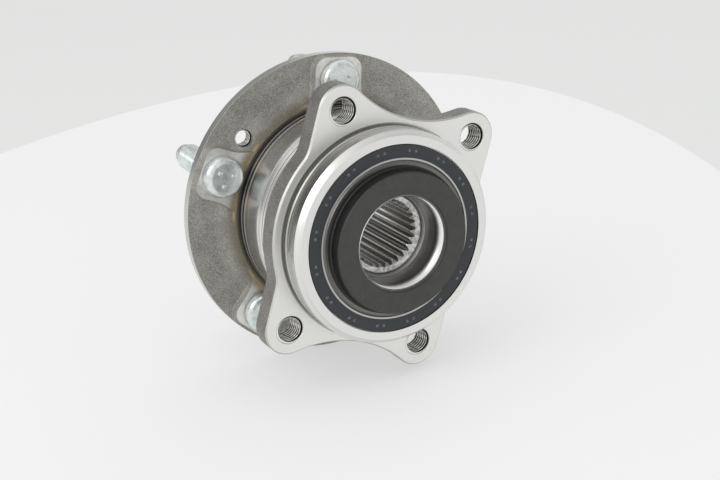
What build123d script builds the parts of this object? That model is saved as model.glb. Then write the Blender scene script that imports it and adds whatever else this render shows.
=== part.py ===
from build123d import *
from math import cos, pi, radians, sin, tan
import os

os.makedirs("parts", exist_ok=True)

# A driven wheel hub unit of a car, in millimetres. Its axis is Y and the wheel's mounting face is
# the plane y = 0. The wheel goes on from +Y, and the bearing, the knuckle flange and the splined
# mouth of the spindle lie towards -Y. Angles run from +X towards +Z.

# Wheel studs, on a pitch circle that clears the bearing's outer ring
stud_offset = 11.15
stud_count = 5
first_stud_deg = 159.0
stud_thread_r = 6.0
stud_knurl_rise = 0.45
stud_knurl_gap = 0.5
stud_head_rim = 2.55
stud_head_t = 5.1
stud_head_round = 2.8
stud_reach = 36.0
stud_nose_drop = 1.2
stud_nose_length = 5.5
stud_lead = 1.2

# Wheel flange, whose rim lies outside the studs, with its thickness at three levels
flange_edge = 11.5
pocket_t = 5.1
boss_t = 8.2
seal_face_rise = 0.5
rim_chamfer = 0.8
seal_face_margin = 1.5
pocket_blend = 11.0

# Milled bosses that the stud heads seat on
boss_wall = 1.7
boss_corner_r = 5.5
boss_flare_r = 24.0
boss_flare_deg = 38.0
boss_rim_gap = 0.5
boss_draft_deg = 14.0
boss_root = 0.6
boss_foot_round = 0.5
spotface_margin = 0.6
spotface_depth = 0.5

# Threaded holes for the two screws that hold the brake disc
disc_screw_r = 4.0
disc_screw_inset = 2.35
disc_screw_deg = 139.9
disc_screw_count = 2
disc_screw_lead = 0.25

# Wheel and brake disc pilots, and the recess for the axle nut
wheel_pilot_r = 33.0
wheel_pilot_length = 6.5
disc_pilot_step = 1.0
disc_pilot_length = 5.5
pilot_lead = 1.2
pilot_undercut = 0.5
pilot_undercut_width = 2.0
nut_recess_r = 25.0
nut_seat_height = 2.0

# Splined bore of the spindle
spline_teeth = 28
spline_tip_r = 13.7
spline_depth = 1.4
spline_gap_at_tip = 2.35
spline_gap_at_root = 0.8
spline_lead = 1.3
mouth_flare = 3.1
mouth_round = 1.3
mouth_depth = 16.2
mouth_shelf = 1.7
mouth_floor_round = 1.6
mouth_floor_round_r = 3.8
mouth_taper = 1.5

# Two rows of balls, each as full as the spacing between its balls allows
inner_wall = 4.15
ball_count = 14
ball_spacing = 2.3349
row_spacing = 26.0
contact_deg = 36.0
race_conformity = 1.04
ball_gap = 0.05
outer_race_low_deg = -15.0
outer_race_high_deg = 62.0
inner_race_low_deg = -20.0
inner_race_high_deg = 66.0
shoulder_slope = 0.43

# Cages, which ride on the balls
cage_wall = 3.6
cage_rim_t = 1.5
cage_reach = 3.5
pocket_gap = 0.15

# Outer ring, its stations along the axis, and its pilot in the knuckle
seal_space = 4.9
outer_wall = 6.15
ring_step = 0.5
ring_step_from_end = 14.4
ring_edge = 0.8
outboard_row_gap = 0.85
inboard_row_gap = 0.25
pilot_length = 12.1
pilot_end_drop = 2.0
pilot_chamfer_length = 2.3
pilot_groove_depth = 0.5
pilot_groove_start = 2.2
pilot_groove_width = 1.8
face_groove_width = 1.1
face_groove_depth = 0.8

# Knuckle flange with four threaded ears, turned about the axis as a whole
knuckle_t = 10.9
knuckle_turn_deg = -15.8
ear_wall = 5.0
ear_offset = 10.643
ear_deg = 55.356
waist_rise = 4.6
waist_blend_r = 14.0
saddle_wall = 2.1
knuckle_edge = 0.7
knuckle_back_round = 1.5
knuckle_neck_r = 2.0
knuckle_bore_r = 6.0
knuckle_bore_lead = 0.25

# Inner ring and the formed collar that holds it on the spindle
spindle_wall = 3.1
slinger_seat_rise = 0.4
inner_ring_proud = 0.2
inner_ring_chamfer = 0.7
collar_rise = 7.4
collar_t = 6.0
collar_edge = 0.7
collar_foot_rise = 1.2
collar_foot_t = 1.5
collar_foot_edge = 0.4

# Seals
lip_gap = 0.3
seal_land_rise = 2.8
neck_fillet_r = 3.0
outboard_wall = 4.5
outboard_seat_depth = 5.2
outboard_case_t = 0.8
outboard_web_gap = 1.7
inboard_wall = 5.4
inboard_seat_depth = 6.5
inboard_case_t = 0.7
inboard_web_gap = 2.2
lip_t = 0.9
lip_tip_t = 0.5
lip_lean = 0.7
outer_lip_flare = 0.5
oil_lip_length = 4.4
slinger_t = 0.8
slinger_flange_t = 0.6
slinger_rim_gap = 0.4
encoder_t = 0.9
encoder_inset = 0.2

# How closely an edge or corner must match a size to be picked by it
pick_tolerance = 0.01

# Radii that follow from the sizes above, from the spline outwards
spline_root_r = spline_tip_r + spline_depth
mouth_floor_r = spline_root_r + mouth_shelf
mouth_r = mouth_floor_r + mouth_flare
spindle_r = mouth_r + spindle_wall
collar_r = spindle_r + collar_rise
collar_foot_r = collar_r + collar_foot_rise
pitch_r = (spindle_r + inner_wall - ball_spacing / 2) / (1 - pi / ball_count)
ball_r = pi * pitch_r / ball_count - ball_spacing / 2
race_r = ball_r * race_conformity
race_shift = race_r - ball_r - ball_gap
cage_inner_r = pitch_r - cage_wall / 2
cage_outer_r = pitch_r + cage_wall / 2
slinger_seat_r = pitch_r + slinger_seat_rise
seal_land_r = pitch_r + seal_land_rise
outboard_web_r = seal_land_r + outboard_web_gap
inboard_web_r = slinger_seat_r + slinger_t + inboard_web_gap
ring_r = pitch_r + ball_r + outer_wall
outboard_seat_r = ring_r - outboard_wall
inboard_seat_r = ring_r - inboard_wall
pilot_end_r = ring_r - pilot_end_drop
face_groove_r = ring_r + face_groove_width
waist_r = ring_r + waist_rise
seal_face_r = ring_r + seal_face_margin
disc_pilot_r = wheel_pilot_r + disc_pilot_step
stud_pitch_r = ring_r + stud_offset
flange_r = stud_pitch_r + flange_edge
disc_screw_pitch_r = stud_pitch_r - disc_screw_inset
stud_knurl_r = stud_thread_r + stud_knurl_rise
stud_head_r = stud_knurl_r + stud_head_rim
stud_nose_r = stud_thread_r - stud_nose_drop
boss_half_width = stud_head_r + spotface_margin + boss_wall
ear_r = knuckle_bore_r + ear_wall
ear_x = (ring_r + ear_offset) * cos(radians(ear_deg))
ear_z = (ring_r + ear_offset) * sin(radians(ear_deg))

# Stations along the axis that follow from the sizes above
seal_face_t = boss_t + seal_face_rise
ring_top = -(seal_face_t + seal_space)
outboard_row = ring_top - outboard_seat_depth - outboard_row_gap - ball_r
inboard_row = outboard_row - row_spacing
ring_end = inboard_row - ball_r - inboard_row_gap - inboard_seat_depth
knuckle_face = ring_end + pilot_length
knuckle_back = knuckle_face + knuckle_t
split_station = (outboard_row + inboard_row) / 2
inner_face = ring_end - inner_ring_proud
collar_foot = inner_face - collar_foot_t
collar_end = inner_face - collar_t
mouth_floor = collar_end + mouth_depth
pilot_top = disc_pilot_length + wheel_pilot_length
stud_seat = -(boss_t - spotface_depth)


def turned_point(radius, degrees):
    """Returns the X and Z of a point at a radius and an angle about the hub's axis."""
    return radius * cos(radians(degrees)), radius * sin(radians(degrees))


def race_arc(row, side, wall, low_deg, high_deg):
    """Returns three (radius, y) points of a raceway, from its open side to its high shoulder.

    side is 1 for the outboard row and -1 for the inboard row. wall is 1 for the race of the outer
    ring and -1 for that of the spindle or inner ring. The arc is a little wider than the ball, and
    its centre lies on the contact line, so that the ball's running gap is least at the contact.
    """
    centre_r = pitch_r - wall * race_shift * cos(radians(contact_deg))
    centre_y = row + wall * side * race_shift * sin(radians(contact_deg))
    return [
        (
            centre_r + wall * race_r * cos(radians(angle)),
            centre_y - wall * side * race_r * sin(radians(angle)),
        )
        for angle in (low_deg, (low_deg + high_deg) / 2, high_deg)
    ]


def is_boss_foot(edge):
    """Tells whether an edge lies where a stud boss rises from the forged floor around it."""
    if edge.geom_type == GeomType.CIRCLE:
        centre = edge.arc_center
        on_floor = abs(centre.Y + pocket_t) < pick_tolerance
        return on_floor and abs(centre.X) + abs(centre.Z) > pick_tolerance
    top = edge.bounding_box().max.Y
    below_top = pick_tolerance - boss_t < top < pick_tolerance - pocket_t
    return edge.geom_type != GeomType.BEZIER and below_top


outer_race_outboard = race_arc(outboard_row, 1, 1, outer_race_low_deg, outer_race_high_deg)
outer_race_inboard = race_arc(inboard_row, -1, 1, outer_race_low_deg, outer_race_high_deg)
hub_race = race_arc(outboard_row, 1, -1, inner_race_low_deg, inner_race_high_deg)
inner_ring_race = race_arc(inboard_row, -1, -1, inner_race_low_deg, inner_race_high_deg)
race_floor_r = outer_race_outboard[0][0]
spindle_middle_r = hub_race[0][0]
shoulder_y = hub_race[2][1]

stud_angles = [first_stud_deg + n * 360 / stud_count for n in range(stud_count)]
stud_places = [turned_point(stud_pitch_r, angle) for angle in stud_angles]
disc_screw_places = [
    turned_point(disc_screw_pitch_r, disc_screw_deg + n * 360 / disc_screw_count)
    for n in range(disc_screw_count)
]

# Each boss widens from its milled top to its foot, which is sunk in the pocket floor
boss_foot_t = pocket_t - boss_root
boss_spread = (boss_t - boss_foot_t) * tan(radians(boss_draft_deg))

# The rounded corners of a boss's foot keep their gap to the flange's rim
corner_centre_r = flange_r - boss_rim_gap - boss_corner_r - boss_spread
corner_reach = (corner_centre_r**2 - (boss_half_width - boss_corner_r) ** 2) ** 0.5
boss_outer_r = corner_reach + boss_corner_r

# Hub flange and spindle, forged as one piece: the turned body
with BuildPart() as hub_flange:
    with BuildSketch(Plane.XY):
        with BuildLine():
            # Nut recess, pilots, wheel face and rim
            outboard_side = Polyline(
                (spline_root_r + spline_lead, nut_seat_height),
                (nut_recess_r, nut_seat_height),
                (nut_recess_r, pilot_top - pilot_lead),
                (nut_recess_r + pilot_lead, pilot_top),
                (wheel_pilot_r - pilot_lead, pilot_top),
                (wheel_pilot_r, pilot_top - pilot_lead),
                (wheel_pilot_r, disc_pilot_length),
                (disc_pilot_r - pilot_undercut, disc_pilot_length),
                (disc_pilot_r, disc_pilot_length - pilot_undercut),
                (disc_pilot_r, -pilot_undercut),
                (disc_pilot_r + pilot_undercut_width, -pilot_undercut),
                (disc_pilot_r + pilot_undercut_width, 0),
                (flange_r - rim_chamfer, 0),
                (flange_r, -rim_chamfer),
                (flange_r, -pocket_t),
                (seal_face_r + pocket_blend, -pocket_t),
            )
            # Forged pocket floor, rising to the turned seal face
            floor_rise = TangentArc(
                outboard_side @ 1, (seal_face_r, -seal_face_t), tangent=(-1, 0)
            )
            seal_face = Line(
                floor_rise @ 1, (seal_land_r + neck_fillet_r, -seal_face_t)
            )
            neck_fillet = RadiusArc(
                seal_face @ 1,
                (seal_land_r, -seal_face_t - neck_fillet_r),
                neck_fillet_r,
            )
            shoulder = Polyline(
                neck_fillet @ 1,
                (seal_land_r, shoulder_y + (seal_land_r - hub_race[2][0]) * shoulder_slope),
                hub_race[2],
            )
            ThreePointArc(hub_race[2], hub_race[1], hub_race[0])
            collar = Polyline(
                hub_race[0],
                (spindle_middle_r, split_station),
                (spindle_r, split_station),
                (spindle_r, inner_face),
                (collar_foot_r, inner_face),
                (collar_foot_r, collar_foot + collar_foot_edge),
                (collar_foot_r - collar_foot_edge, collar_foot),
                (collar_r, collar_foot),
                (collar_r, collar_end + collar_edge),
            )
            collar_round = RadiusArc(
                collar @ 1, (collar_r - collar_edge, collar_end), -collar_edge
            )
            collar_face = Line(collar_round @ 1, (mouth_r + mouth_round, collar_end))
            mouth_lip = RadiusArc(
                collar_face @ 1, (mouth_r, collar_end + mouth_round), -mouth_round
            )
            mouth_wall = Line(
                mouth_lip @ 1,
                (mouth_floor_r + mouth_floor_round, mouth_floor - mouth_floor_round * mouth_taper),
            )
            mouth_foot = RadiusArc(
                mouth_wall @ 1, (mouth_floor_r, mouth_floor), mouth_floor_round_r
            )
            Polyline(
                mouth_foot @ 1,
                (spline_tip_r + spline_lead, mouth_floor),
                (spline_tip_r, mouth_floor + spline_lead),
                (spline_tip_r, nut_seat_height - spline_lead),
                outboard_side @ 0,
            )
        make_face()
    revolve(axis=Axis.Y)

    # Milled stud bosses, standing out of the forged pockets with drafted sides
    for angle in stud_angles:
        radial = turned_point(1, angle)
        for level, spread in ((boss_t, 0), (boss_foot_t, boss_spread)):
            with BuildSketch(
                Plane(origin=(0, -level, 0), x_dir=(radial[0], 0, radial[1]), z_dir=(0, -1, 0))
            ):
                with BuildLine():
                    outer_edge = Line(
                        (boss_outer_r + spread, 0),
                        (boss_outer_r + spread, boss_half_width - boss_corner_r),
                    )
                    corner = JernArc(outer_edge @ 1, (0, 1), boss_corner_r + spread, 90)
                    side = Line(corner @ 1, (stud_pitch_r, boss_half_width + spread))
                    flare = JernArc(
                        side @ 1, (-1, 0), boss_flare_r - spread, -boss_flare_deg
                    )
                    Line(flare @ 1, ((flare @ 1).X, 0))
                    mirror(about=Plane.XZ)
                make_face()
        loft()
    fillet(hub_flange.edges().filter_by(is_boss_foot), boss_foot_round)

    # Spotfaces, and the holes that hold the knurled shanks
    with BuildSketch(Plane.XZ.offset(-stud_seat)):
        with Locations(*stud_places):
            Circle(stud_head_r + spotface_margin)
    extrude(amount=seal_face_t, mode=Mode.SUBTRACT)
    with BuildSketch(Plane.XZ):
        with Locations(*stud_places):
            Circle(stud_knurl_r)
        with Locations(*disc_screw_places):
            Circle(disc_screw_r)
    extrude(amount=seal_face_t, mode=Mode.SUBTRACT)
    screw_mouths = hub_flange.edges().filter_by(
        lambda e: e.geom_type == GeomType.CIRCLE
        and abs(e.radius - disc_screw_r) < pick_tolerance
        and abs(e.arc_center.Y) < pick_tolerance
    )
    chamfer(screw_mouths, disc_screw_lead)

    # Spline grooves, broached from the floor of the mouth to the nut seat
    flank_slope = (spline_gap_at_tip - spline_gap_at_root) / (spline_root_r - spline_tip_r)
    groove_start_r = spline_tip_r - spline_lead / 2
    groove_start_gap = spline_gap_at_tip + flank_slope * spline_lead / 2
    with BuildSketch(Plane.XZ.offset(-mouth_floor)):
        with PolarLocations(0, spline_teeth):
            Polygon(
                (groove_start_r, -groove_start_gap / 2),
                (spline_root_r, -spline_gap_at_root / 2),
                (spline_root_r, spline_gap_at_root / 2),
                (groove_start_r, groove_start_gap / 2),
                align=None,
            )
    extrude(amount=mouth_floor - nut_seat_height, mode=Mode.SUBTRACT)
hub_flange.part.label = "hub_flange"
export_step(hub_flange.part, "parts/hub_flange.step")

# Wheel studs, pressed in from the bearing side
for number, (stud_x, stud_z) in enumerate(stud_places, start=1):
    with BuildPart() as stud:
        with BuildSketch(Plane(origin=(stud_x, 0, stud_z), x_dir=(1, 0, 0), z_dir=(0, 0, 1))):
            with BuildLine():
                head_top = Line(
                    (0, stud_seat - stud_head_t),
                    (stud_head_r - stud_head_round, stud_seat - stud_head_t),
                )
                head_round = RadiusArc(
                    head_top @ 1,
                    (stud_head_r, stud_seat - stud_head_t + stud_head_round),
                    -stud_head_round,
                )
                Polyline(
                    head_round @ 1,
                    (stud_head_r, stud_seat),
                    (stud_knurl_r, stud_seat),
                    (stud_knurl_r, -stud_knurl_gap),
                    (stud_thread_r, stud_knurl_r - stud_thread_r - stud_knurl_gap),
                    (stud_thread_r, stud_reach - stud_nose_length - stud_lead),
                    (stud_nose_r, stud_reach - stud_nose_length),
                    (stud_nose_r, stud_reach - stud_lead),
                    (stud_nose_r - stud_lead / 2, stud_reach),
                    (0, stud_reach),
                    head_top @ 0,
                )
            make_face()
        revolve(axis=Axis((stud_x, 0, stud_z), (0, 1, 0)))
    stud.part.label = f"wheel_stud_{number}"
    export_step(stud.part, f"parts/wheel_stud_{number}.step")

# Outer ring: the turned body with both raceways, both seal seats and the knuckle pilot
neck_foot_r = ring_r + ring_step + knuckle_neck_r
groove_top = knuckle_face - pilot_groove_start
groove_foot = groove_top - pilot_groove_width
ears_plane = Plane(
    origin=(0, knuckle_back, 0),
    x_dir=(cos(radians(knuckle_turn_deg)), 0, sin(radians(knuckle_turn_deg))),
    z_dir=(0, -1, 0),
)
ear_places = [(x, z) for x in (-ear_x, ear_x) for z in (-ear_z, ear_z)]

# The outline's saddles are round arcs that touch the ears and leave a wall around the face groove.
# They are centred above and below the axis.
saddle_rise = face_groove_r + saddle_wall - ear_z
saddle_r = (saddle_rise**2 + ear_x**2 - ear_r**2) / (2 * (ear_r - saddle_rise))
saddle_z = ear_z + ((saddle_r + ear_r) ** 2 - ear_x**2) ** 0.5
saddle_foot = (
    ear_x * saddle_r / (saddle_r + ear_r),
    saddle_z - (saddle_z - ear_z) * saddle_r / (saddle_r + ear_r),
)
side_x = ear_x + ear_r
waist_z = (waist_r**2 - side_x**2) ** 0.5
with BuildPart() as outer_ring:
    # Knuckle flange: round waists at the sides, four ears, and shallow saddles above and below
    with BuildSketch(ears_plane):
        with BuildLine():
            saddle = RadiusArc((0, saddle_z - saddle_r), saddle_foot, -saddle_r)
            ear = RadiusArc(saddle @ 1, (side_x, ear_z), ear_r)
            flank = Line(ear @ 1, (side_x, waist_z))
            RadiusArc(flank @ 1, (waist_r, 0), waist_r)
            mirror(about=Plane.XZ)
            mirror(about=Plane.YZ)
        outline = make_face()
        inner_corners = outline.vertices().filter_by(
            lambda v: abs(abs(v.X) - side_x) < pick_tolerance and abs(abs(v.Y) - waist_z) < pick_tolerance
        )
        fillet(inner_corners, waist_blend_r)
        Circle(face_groove_r, mode=Mode.SUBTRACT)
        with Locations(*ear_places):
            Circle(knuckle_bore_r, mode=Mode.SUBTRACT)
    extrude(amount=knuckle_t)
    front = outer_ring.faces().sort_by(Axis.Y)[0]
    chamfer(front.outer_wire().edges(), knuckle_edge)
    back = outer_ring.faces().sort_by(Axis.Y)[-1]
    fillet(back.outer_wire().edges(), knuckle_back_round)
    bore_mouths = outer_ring.edges().filter_by(
        lambda e: e.geom_type == GeomType.CIRCLE and abs(e.radius - knuckle_bore_r) < pick_tolerance
    )
    chamfer(bore_mouths, knuckle_bore_lead)

    # Barrel, pilot, seal seats and raceways
    with BuildSketch(Plane.XY):
        with BuildLine():
            barrel = Polyline(
                (outboard_seat_r, ring_top),
                (ring_r - ring_edge, ring_top),
                (ring_r, ring_top - ring_edge),
                (ring_r, ring_top - ring_step_from_end),
                (ring_r + ring_step, ring_top - ring_step_from_end - ring_step),
                (ring_r + ring_step, knuckle_back + knuckle_neck_r),
            )
            neck = RadiusArc(barrel @ 1, (neck_foot_r, knuckle_back), -knuckle_neck_r)
            pilot = Polyline(
                neck @ 1,
                (neck_foot_r, knuckle_back - knuckle_neck_r),
                (face_groove_r, knuckle_back - knuckle_neck_r),
                (face_groove_r, knuckle_face + face_groove_depth),
                (ring_r, knuckle_face + face_groove_depth),
                (ring_r, groove_top),
                (ring_r - pilot_groove_depth, groove_top - pilot_groove_depth),
                (ring_r - pilot_groove_depth, groove_foot + pilot_groove_depth),
                (ring_r, groove_foot),
                (ring_r, ring_end + pilot_chamfer_length),
                (pilot_end_r, ring_end),
                (inboard_seat_r, ring_end),
                (inboard_seat_r, ring_end + inboard_seat_depth),
                (race_floor_r, ring_end + inboard_seat_depth),
                outer_race_inboard[0],
            )
            ThreePointArc(*outer_race_inboard)
            Line(outer_race_inboard[2], outer_race_outboard[2])
            ThreePointArc(*reversed(outer_race_outboard))
            Polyline(
                outer_race_outboard[0],
                (race_floor_r, ring_top - outboard_seat_depth),
                (outboard_seat_r, ring_top - outboard_seat_depth),
                barrel @ 0,
            )
        make_face()
    revolve(axis=Axis.Y)
outer_ring.part.label = "outer_ring"
export_step(outer_ring.part, "parts/outer_ring.step")

# Inner ring of the inboard row, pressed on the spindle and held by the collar
inner_cone = inner_ring_race[2][1] - (slinger_seat_r - inner_ring_race[2][0]) * shoulder_slope
with BuildPart() as inner_ring:
    with BuildSketch(Plane.XY):
        with BuildLine():
            ThreePointArc(*inner_ring_race)
            Polyline(
                inner_ring_race[2],
                (slinger_seat_r, inner_cone),
                (slinger_seat_r, inner_face + inner_ring_chamfer),
                (slinger_seat_r - inner_ring_chamfer, inner_face),
                (spindle_r, inner_face),
                (spindle_r, split_station),
                (inner_ring_race[0][0], split_station),
                inner_ring_race[0],
            )
        make_face()
    revolve(axis=Axis.Y)
inner_ring.part.label = "inner_ring"
export_step(inner_ring.part, "parts/inner_ring.step")

# Balls and cages. A cage is a crown: its solid rim lies towards the middle of the bearing, and
# its pockets, which the balls snap into, are open towards the seals.
ball_step = 360 / ball_count
for row_name, row, side, row_turn in (
    ("outboard", outboard_row, 1, 0),
    ("inboard", inboard_row, -1, ball_step / 2),
):
    ball_angles = [row_turn + n * ball_step for n in range(ball_count)]
    rim_y = row - side * (ball_r + pocket_gap + cage_rim_t)
    crown_y = row + side * cage_reach
    with BuildPart() as cage:
        with BuildSketch(Plane.XY):
            with BuildLine():
                Polyline(
                    (cage_inner_r, rim_y),
                    (cage_outer_r, rim_y),
                    (cage_outer_r, crown_y),
                    (cage_inner_r, crown_y),
                    close=True,
                )
            make_face()
        revolve(axis=Axis.Y)
        for angle in ball_angles:
            radial = turned_point(1, angle)
            with BuildSketch(
                Plane(origin=(0, row, 0), x_dir=(0, 1, 0), z_dir=(radial[0], 0, radial[1]))
            ):
                Circle(ball_r + pocket_gap)
            extrude(amount=cage_outer_r + cage_rim_t, mode=Mode.SUBTRACT)
    cage.part.label = f"{row_name}_cage"
    export_step(cage.part, f"parts/{row_name}_cage.step")

    for number, angle in enumerate(ball_angles, start=1):
        ball_x, ball_z = turned_point(pitch_r, angle)
        with BuildPart() as ball:
            with Locations((ball_x, row, ball_z)):
                Sphere(ball_r)
        ball.part.label = f"{row_name}_ball_{number:02d}"
        export_step(ball.part, f"parts/{row_name}_ball_{number:02d}.step")

# Outboard seal: a steel case pressed in the outer ring, whose brim covers the ring's end
case_in_r = outboard_seat_r - outboard_case_t
brim_face = ring_top + outboard_case_t
web_floor = ring_top - outboard_seat_depth
web_face = web_floor + outboard_case_t
with BuildPart() as outboard_seal_case:
    with BuildSketch(Plane.XY):
        with BuildLine():
            Polyline(
                (outboard_web_r, web_floor),
                (outboard_seat_r, web_floor),
                (outboard_seat_r, ring_top),
                (ring_r, ring_top),
                (ring_r, brim_face),
                (case_in_r, brim_face),
                (case_in_r, web_face),
                (outboard_web_r, web_face),
                close=True,
            )
        make_face()
    revolve(axis=Axis.Y)
outboard_seal_case.part.label = "outboard_seal_case"
export_step(outboard_seal_case.part, "parts/outboard_seal_case.step")

# Its rubber: an outer lip that closes the gap to the hub, a dust lip, and a radial oil lip
face_lip_y = -seal_face_t - lip_gap
land_lip_r = seal_land_r + lip_gap
lip_root = brim_face + lip_t
dust_lip_r = (case_in_r + ring_r) / 2 - lip_t
with BuildPart() as outboard_seal_lip:
    with BuildSketch(Plane.XY):
        with BuildLine():
            Polyline(
                (ring_r, brim_face),
                (ring_r + outer_lip_flare, face_lip_y),
                (ring_r + outer_lip_flare - lip_t, face_lip_y),
                (ring_r - lip_t, lip_root),
                (dust_lip_r + lip_t, lip_root),
                (dust_lip_r, face_lip_y),
                (dust_lip_r - lip_tip_t, face_lip_y),
                (dust_lip_r - lip_tip_t / 2, lip_root),
                (case_in_r - lip_t, lip_root),
                (case_in_r - lip_t, web_face + lip_t),
                (outboard_web_r + lip_tip_t, web_face + lip_t),
                (land_lip_r + lip_t, web_face + oil_lip_length),
                (land_lip_r, web_face + oil_lip_length),
                (land_lip_r, web_face + oil_lip_length - lip_t),
                (outboard_web_r - lip_t / 2, web_face),
                (case_in_r, web_face),
                (case_in_r, brim_face),
                close=True,
            )
        make_face()
    revolve(axis=Axis.Y)
outboard_seal_lip.part.label = "outboard_seal_lip"
export_step(outboard_seal_lip.part, "parts/outboard_seal_lip.step")

# Slinger, pressed on the inner ring, and the magnetic ring moulded on its face
encoder_face = ring_end + encoder_inset
flange_in = encoder_face + encoder_t
flange_out = flange_in + slinger_flange_t
sleeve_r = slinger_seat_r + slinger_t
rim_r = inboard_seat_r - slinger_rim_gap
with BuildPart() as slinger:
    with BuildSketch(Plane.XY):
        with BuildLine():
            Polyline(
                (slinger_seat_r, inner_cone - lip_gap),
                (sleeve_r, inner_cone - lip_gap),
                (sleeve_r, flange_out),
                (rim_r, flange_out),
                (rim_r, flange_in),
                (sleeve_r, flange_in),
                (sleeve_r, encoder_face),
                (slinger_seat_r, encoder_face),
                close=True,
            )
        make_face()
    revolve(axis=Axis.Y)
slinger.part.label = "slinger"
export_step(slinger.part, "parts/slinger.step")

with BuildPart() as encoder_ring:
    with BuildSketch(Plane.XY):
        with BuildLine():
            Polyline(
                (sleeve_r, flange_in),
                (rim_r, flange_in),
                (rim_r, encoder_face),
                (sleeve_r, encoder_face),
                close=True,
            )
        make_face()
    revolve(axis=Axis.Y)
encoder_ring.part.label = "encoder_ring"
export_step(encoder_ring.part, "parts/encoder_ring.step")

# Inboard seal case, pressed in the outer ring behind the slinger, and its rubber
inboard_floor = ring_end + inboard_seat_depth
inboard_web = inboard_floor - inboard_case_t
inboard_case_in_r = inboard_seat_r - inboard_case_t
case_end = flange_out + lip_gap
with BuildPart() as inboard_seal_case:
    with BuildSketch(Plane.XY):
        with BuildLine():
            Polyline(
                (inboard_web_r, inboard_floor),
                (inboard_seat_r, inboard_floor),
                (inboard_seat_r, case_end),
                (inboard_case_in_r, case_end),
                (inboard_case_in_r, inboard_web),
                (inboard_web_r, inboard_web),
                close=True,
            )
        make_face()
    revolve(axis=Axis.Y)
inboard_seal_case.part.label = "inboard_seal_case"
export_step(inboard_seal_case.part, "parts/inboard_seal_case.step")

sleeve_lip_r = sleeve_r + lip_gap
inboard_root = inboard_web - lip_t
dust_root_r = inboard_web_r + lip_t
with BuildPart() as inboard_seal_lip:
    with BuildSketch(Plane.XY):
        with BuildLine():
            Polyline(
                (inboard_case_in_r, inboard_web),
                (inboard_web_r, inboard_web),
                (inboard_web_r - lip_t / 2, inboard_web),
                (sleeve_lip_r, inboard_root),
                (sleeve_lip_r, inboard_root - lip_t),
                (inboard_web_r, inboard_root),
                (dust_root_r, inboard_root),
                (dust_root_r + lip_lean, case_end),
                (dust_root_r + lip_lean + lip_tip_t, case_end),
                (dust_root_r + lip_t, inboard_root),
                (inboard_case_in_r, inboard_root),
                close=True,
            )
        make_face()
    revolve(axis=Axis.Y)
inboard_seal_lip.part.label = "inboard_seal_lip"
export_step(inboard_seal_lip.part, "parts/inboard_seal_lip.step")
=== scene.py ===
"""Dresses a driven wheel hub unit in its forged, turned, ground, plated and moulded surfaces.

The hub's axis is Y. The wheel's mounting face is the plane y = 0, the wheel goes on from +Y, and the
bearing, the knuckle flange and the splined mouth lie towards -Y. Angles run from +X towards +Z.
Sizes in the classes are millimetres, and they become metres where a mesh or a place is made. Only
the studio's are metres from the start.
"""

from __future__ import annotations

import logging
import math
from dataclasses import dataclass
from enum import Enum
from typing import Callable, Iterable, Protocol, Sequence, Union

import bpy
import numpy as np
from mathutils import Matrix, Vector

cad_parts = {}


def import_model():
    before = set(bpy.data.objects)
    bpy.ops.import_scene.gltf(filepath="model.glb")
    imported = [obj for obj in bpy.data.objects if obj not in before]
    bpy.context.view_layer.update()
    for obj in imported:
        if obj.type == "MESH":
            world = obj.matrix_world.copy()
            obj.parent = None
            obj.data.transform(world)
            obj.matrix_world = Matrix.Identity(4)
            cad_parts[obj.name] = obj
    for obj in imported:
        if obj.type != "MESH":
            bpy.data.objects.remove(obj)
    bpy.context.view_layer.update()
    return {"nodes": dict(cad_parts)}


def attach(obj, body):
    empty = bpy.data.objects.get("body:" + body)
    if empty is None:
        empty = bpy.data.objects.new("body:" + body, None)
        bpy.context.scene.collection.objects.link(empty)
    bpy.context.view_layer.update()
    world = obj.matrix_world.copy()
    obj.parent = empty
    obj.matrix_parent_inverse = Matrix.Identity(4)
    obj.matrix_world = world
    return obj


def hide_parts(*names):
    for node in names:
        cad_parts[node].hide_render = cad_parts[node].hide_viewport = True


MM = 0.001
LOG = logging.getLogger("wheel_hub")
THREAD_DEPTH = "thread_depth"
THREAD_ROWS = 12
"""Rows of points in one pitch of a thread."""
THREAD_RISE = 2.6
THREAD_CREST = 0.45
"""How steeply a thread's flank falls over half a pitch, and the share that the flat crest takes off it."""
ON_ROW = 0.01
"""A point this near to a radius or height belongs to that part of a profile, in millimetres."""
PROFILE_TILT = 0.61
"""Share of the height that is added to the radius, so that a value grows along faces and walls alike."""

Colour = tuple[float, float, float]
Change = Callable[[np.ndarray, np.ndarray, np.ndarray], tuple[np.ndarray, np.ndarray]]
"""Takes radius, y and angle, and returns the changed radius and y."""


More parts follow.
